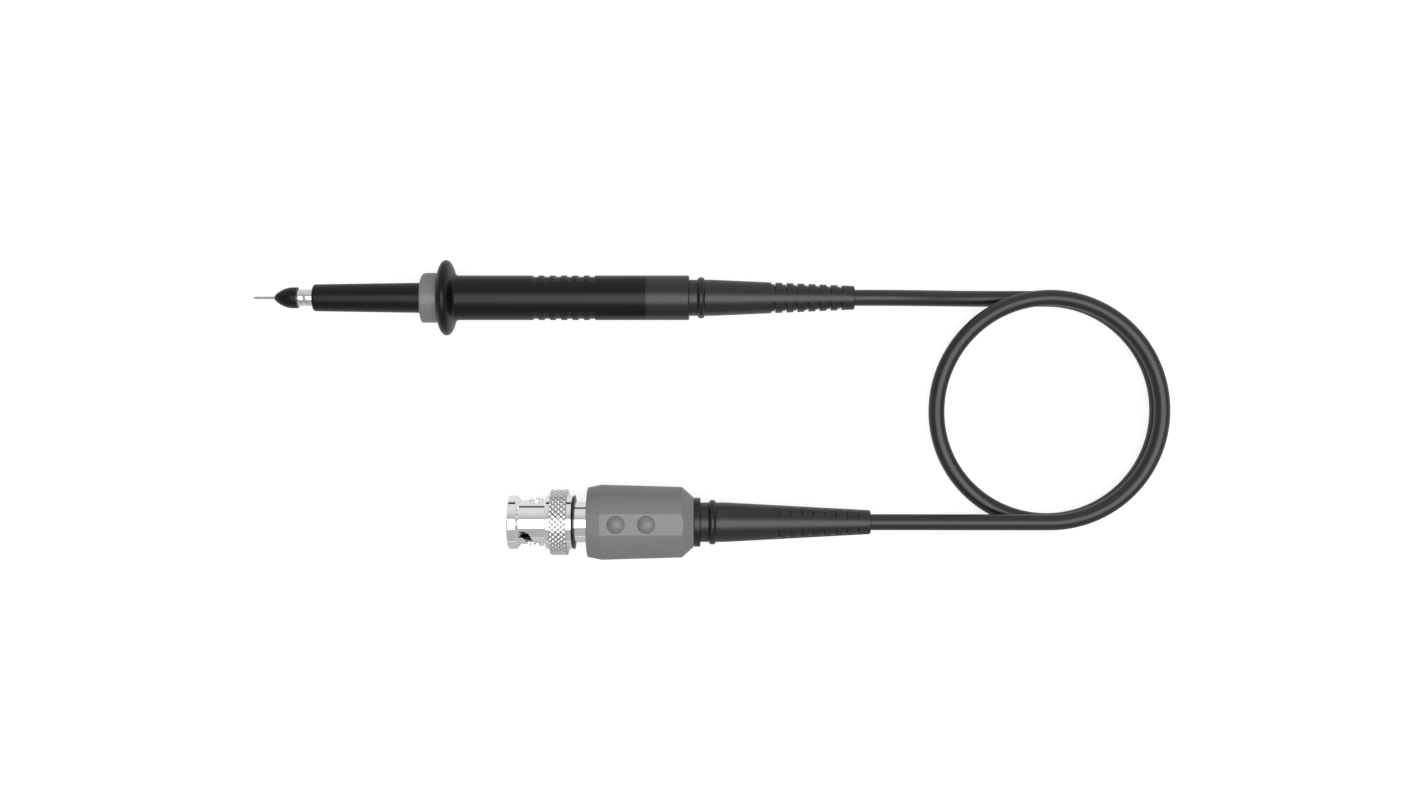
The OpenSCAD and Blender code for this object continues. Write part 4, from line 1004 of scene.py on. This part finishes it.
# %% [markdown]
# ## Coupling nut
# The bayonet nut is turned from brass and plated bright: a front ring, a slotted barrel that catches the
# socket's two lugs, and a knurled grip. The knurl is real geometry: two families of grooves cross, and
# the product of their heights leaves little diamonds with flat tops. The mesh has sixteen stations to
# each diamond, so that the grooves stay crisp.

# %% Knurl
nut, nut_back = span("coupling_nut")
TEETH, PER_TOOTH = 38, 16
KNURL_AT, KNURL_END, KNURL_PITCH, KNURL_FLAT = 11.0, 15.45, 1.46, 0.45
NEAR = 0.01
knurl_rows = np.arange(KNURL_AT + KNURL_DEEP, KNURL_END - KNURL_DEEP + NEAR, KNURL_PITCH / PER_TOOTH)


def wave(phase):
    """A triangle wave: 1 at whole numbers, 0 half way between them."""
    return np.abs(2 * (phase % 1) - 1)


def knurl(along, radius, degrees):
    """Presses crossing grooves into the grip."""
    tooth, row = degrees * TEETH / 360, (along - nut - KNURL_AT - KNURL_DEEP) / KNURL_PITCH
    height = ease(wave(tooth + row) / KNURL_FLAT) * ease(wave(tooth - row) / KNURL_FLAT)
    return along, np.where(radius > KNURL_R - NEAR, radius - KNURL_DEEP * (1 - height), radius), degrees


print(len(knurl_rows), "rows of stations in the knurl")

# %% Turned blank of the nut
RING_OUT, BARREL_OUT, MOUTH_R, RELIEF_R, ROOM_R, BED_OUT = 6.95, 5.65, 4.9, 5.15, 6.3, 7.3
RING_FULL, RING_LEN, RING_STEP, SHOULDER = 2.2, 3.0, 0.25, 9.7
MOUTH_DEEP, ROOM_AT, BED_FRONT, BED_BACK = 2.2, 11.0, 14.52, 15.28
NUT_CHAMFER, NUT_LONGER, NUT_STEPS = 0.3, 0.25, 4
NUT_TURN = np.arange(TEETH * PER_TOOTH) * 360 / (TEETH * PER_TOOTH)
rear = nut_back + NUT_LONGER
chamfered = RING_OUT - NUT_CHAMFER
groove = KNURL_R - KNURL_DEEP
coupling_nut = turned("bayonet_nut", rounded([
    (nut, MOUTH_R, 0.15), (nut, chamfered, 0.06), (nut + NUT_CHAMFER, RING_OUT, 0.06),
    (nut + RING_FULL, RING_OUT, 0.1), (nut + RING_LEN, BARREL_OUT + RING_STEP, 0.06),
    (nut + RING_LEN, BARREL_OUT), (nut + SHOULDER, BARREL_OUT), (nut + SHOULDER, chamfered, 0.06),
    (nut + SHOULDER + NUT_CHAMFER, RING_OUT, 0.06), (nut + KNURL_AT, RING_OUT), (nut + KNURL_AT, groove),
    *((nut + x, KNURL_R) for x in knurl_rows), (nut + KNURL_END, groove), (nut + KNURL_END, RING_OUT),
    (rear - NUT_CHAMFER, RING_OUT, 0.06), (rear, chamfered, 0.06), (rear, ROOM_R),
    (nut + BED_BACK, ROOM_R), (nut + BED_BACK, BED_OUT), (nut + BED_FRONT, BED_OUT),
    (nut + BED_FRONT, ROOM_R), (nut + ROOM_AT, ROOM_R), (nut + ROOM_AT, RELIEF_R),
    (nut + MOUTH_DEEP, RELIEF_R), (nut + MOUTH_DEEP, MOUTH_R),
], NUT_STEPS), on_plug, NUT_TURN, knurl)
print("blank:", len(coupling_nut.data.polygons), "faces")

# %% Bayonet slots
SLOT_HALF, SLOT_LINE = 1.0, np.array([(2.6, 31.5), (4.7, 32.5), (7.15, 95.0)])
SLOT_REACH, SLOT_CLEAR, KEY_REACH, KEY_BACK = (4.4, 7.2), 0.02, (4.4, 5.7), 3


def stadium(line, half, steps=9):
    """Outline of a slot that follows three points, with round ends."""
    first, last = line[1] - line[0], line[2] - line[1]

    def end(centre, heading):
        turn = np.arctan2(heading[1], heading[0]) + np.linspace(-np.pi / 2, np.pi / 2, steps)
        return centre + half * np.stack([np.cos(turn), np.sin(turn)], 1)

    bend = first / np.linalg.norm(first) + last / np.linalg.norm(last)
    across = 2 * half * np.array([-bend[1], bend[0]]) / np.dot(bend, bend)
    return np.vstack([end(line[2], last), line[1:2] + across, end(line[0], -first), line[1:2] - across])


def wrapped(plan, inner, outer, turn):
    """A prism whose plan, along and round in millimetres, is wrapped round the nut from the top to -Y."""
    angle = -(plan[:, 1] / BARREL_OUT) + turn
    rings = [np.stack(on_plug(nut + plan[:, 0], r * np.sin(angle), r * np.cos(angle)), 1)
             for r in (inner, outer)]
    return prism("cutter", np.vstack(rings))


flat_line = SLOT_LINE * (1, math.radians(1) * BARREL_OUT)
left, right = flat_line[0, 1] - SLOT_HALF, flat_line[0, 1] + SLOT_HALF
keyway = np.array([(-PAST, left), (KEY_BACK, left), (KEY_BACK, right), (-PAST, right)])
slot_plan = stadium(flat_line, SLOT_HALF)
slot_plan[:, 0] = np.maximum(slot_plan[:, 0], RING_LEN + SLOT_CLEAR)
cutters = [wrapped(plan, *reach, turn) for turn in (0, math.pi)
           for plan, reach in ((slot_plan, SLOT_REACH), (keyway, KEY_REACH))]
print(len(cutters), "cutters")

# %% Raised eyes at the slots' ends
BOSS_R, BOSS_TOP, BOSS_ROOT = 1.85, 6.05, 0.2
slot_end, slot_turn = SLOT_LINE[-1]


def on_boss(turn):
    """Places a turned piece on a line out of the plug's axis, through the end of a slot."""
    side, up = -math.sin(turn), math.cos(turn)
    return lambda along, across, beside: on_plug(
        nut + slot_end + across, along * side + beside * up, along * up - beside * side)


bosses = [drum("boss", on_boss(math.radians(slot_turn) + turn), RELIEF_R + BOSS_ROOT, BOSS_TOP, BOSS_R)
          for turn in (0, math.pi)]
carve(coupling_nut, cutters, bosses)
dress(coupling_nut, "bright_metal", "nut", "coupling_nut", look="knurled_metal")

# %% Seal behind the nut
seal, seal_back = span("dust_seal")
SEAL_R, SEAL_BORE, SEAL_HUB, SEAL_LIP, SEAL_STEP, SEAL_SET = 7.0, 5.23, 5.5, 0.37, 0.06, 0.25
lip = seal_back - SEAL_SET
dust_seal = turned("seal", rounded([
    (seal, SEAL_BORE), (seal, SEAL_HUB, 0.15), (lip - SEAL_LIP, SEAL_HUB, 0.05),
    (lip - SEAL_LIP, SEAL_R, 0.1), (lip, SEAL_R, 0.1), (lip, SEAL_HUB, 0.02),
    (lip + SEAL_STEP, SEAL_HUB, 0.03), (lip + SEAL_STEP, SEAL_BORE),
]), on_plug)
dress(dust_seal, "black_ring", "root", "dust_seal")

# %% [markdown]
# ## Connector body
# Inside the nut sits the connector: a contact sleeve split by four slots, a flange that the nut's spring
# pushes on, a neck that shows in front of the box, and a thread behind it.

# %% Connector body
contact, thread_back = span("connector_body")
CONTACT_R, CONTACT_BORE, CONTACT_LEN, CONN_NECK_R = 4.05, 3.35, 9.2, 5.2
BODY_FLANGE_R, BODY_FLANGE, BORE_STOP, THREAD_R, BACK_BORE = 6.25, 1.0, 0.5, 4.85, 2.4
flange = contact + CONTACT_LEN
neck, stop = flange + BODY_FLANGE, flange + BORE_STOP
connector = turned("connector", rounded([
    (contact, CONTACT_BORE), (contact, CONTACT_R, 0.2), (flange, CONTACT_R), (flange, BODY_FLANGE_R, 0.08),
    (neck, BODY_FLANGE_R, 0.08), (neck, CONN_NECK_R), (cap, CONN_NECK_R), (cap, THREAD_R),
    (thread_back, THREAD_R), (thread_back, BACK_BORE), (stop, BACK_BORE), (stop, CONTACT_BORE),
]), on_plug)
print("blank:", len(connector.data.polygons), "faces")

# %% Slots of the contact sleeve
CONTACT_SLOT, CONTACT_SLOT_HALF, BLADE_REACH, BLADE_TURNS = 4.5, 0.3, 6, (45, 135)
blades = []
for turn in BLADE_TURNS:
    across = np.array([math.sin(math.radians(turn)), math.cos(math.radians(turn))])
    beside = np.array([across[1], -across[0]]) * CONTACT_SLOT_HALF
    ends = [(x, *(s * across * BLADE_REACH + k * beside)) for x in (contact - PAST, contact + CONTACT_SLOT)
            for s, k in SQUARE]
    blades.append(prism("blade", [on_plug(*end) for end in ends]))
carve(connector, blades)
dress(connector, "bright_metal", "root", "connector_body")

# %% [markdown]
# ## Spring of the nut
# Behind the flange lies a wave washer, a thin ring bent into three waves. It pushes the nut back, and
# lies flatter when the nut is pulled forward. A flat ring is turned, and its points are moved along the
# axis by a cosine.

# %% Wave washer
wave_front, wave_back = span("spring_washer")
WAVE_BORE, WAVE_R, WAVE_PLATE, WAVES = 5.3, 6.15, 0.3, 3


def waved(along, radius, degrees):
    """Bends a flat ring into waves."""
    rise = wave_back - wave_front - WAVE_PLATE
    return along + rise * (1 - np.cos(np.radians(WAVES * degrees))) / 2, radius, degrees


wave_washer = turned("wave_washer", rounded([
    (wave_front, WAVE_BORE, 0.05), (wave_front, WAVE_R, 0.05), (wave_front + WAVE_PLATE, WAVE_R, 0.05),
    (wave_front + WAVE_PLATE, WAVE_BORE, 0.05),
]), on_plug, shape=waved)
dress(wave_washer, "spring_steel", "root", "spring_washer")
shorten(wave_washer)

# %% [markdown]
# ## Stripped end
# Inside the box the lead is cut back in steps: bare wire, white core, then the jacket. The lead's curve
# already runs some way into the boot, so this turned piece only reaches to where the curve begins.

# %% Stripped end of the lead
wire, _ = span("plug_cable_end")
WIRE_R, CORE_R, WIRE_BARE, CORE_BARE = 0.25, 1.3, 0.7, 1.0
core, jacket = wire + WIRE_BARE, wire + WIRE_BARE + CORE_BARE
stripped = turned("stripped_end", rounded([
    (wire, 0), (wire, WIRE_R), (core, WIRE_R), (core, CORE_R), (jacket, CORE_R), (jacket, LEAD_D / 2),
    (lead_join, LEAD_D / 2), (lead_join, 0),
]), on_plug)
dress(stripped, "black_lead", "root", "plug_cable_end")

# %% [markdown]
# ## What stays as CAD
# Boards, washers, sleeves and the other inner parts are right as they are, so they stay and only get
# their finishes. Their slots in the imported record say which.

# %% Finishes of the inner parts
shown = [n for n in frame["record"]["subparts"] if not frame["nodes"][n["node"]].hide_render]
for part in shown:
    for slot in frame["nodes"][part["node"]].material_slots:
        slot.material = FINISH[part["material_slot"]]
print(len(shown), "CAD nodes dressed")

# %% [markdown]
# ## The lead
# The lead's curve gets its finish and goes with the root body, and the CAD runs of the lead are hidden.

lead_line.materials.append(FINISH["black_lead"])
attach(lead, "root")
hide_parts("cable_probe_run", "cable_loop", "cable_plug_run")
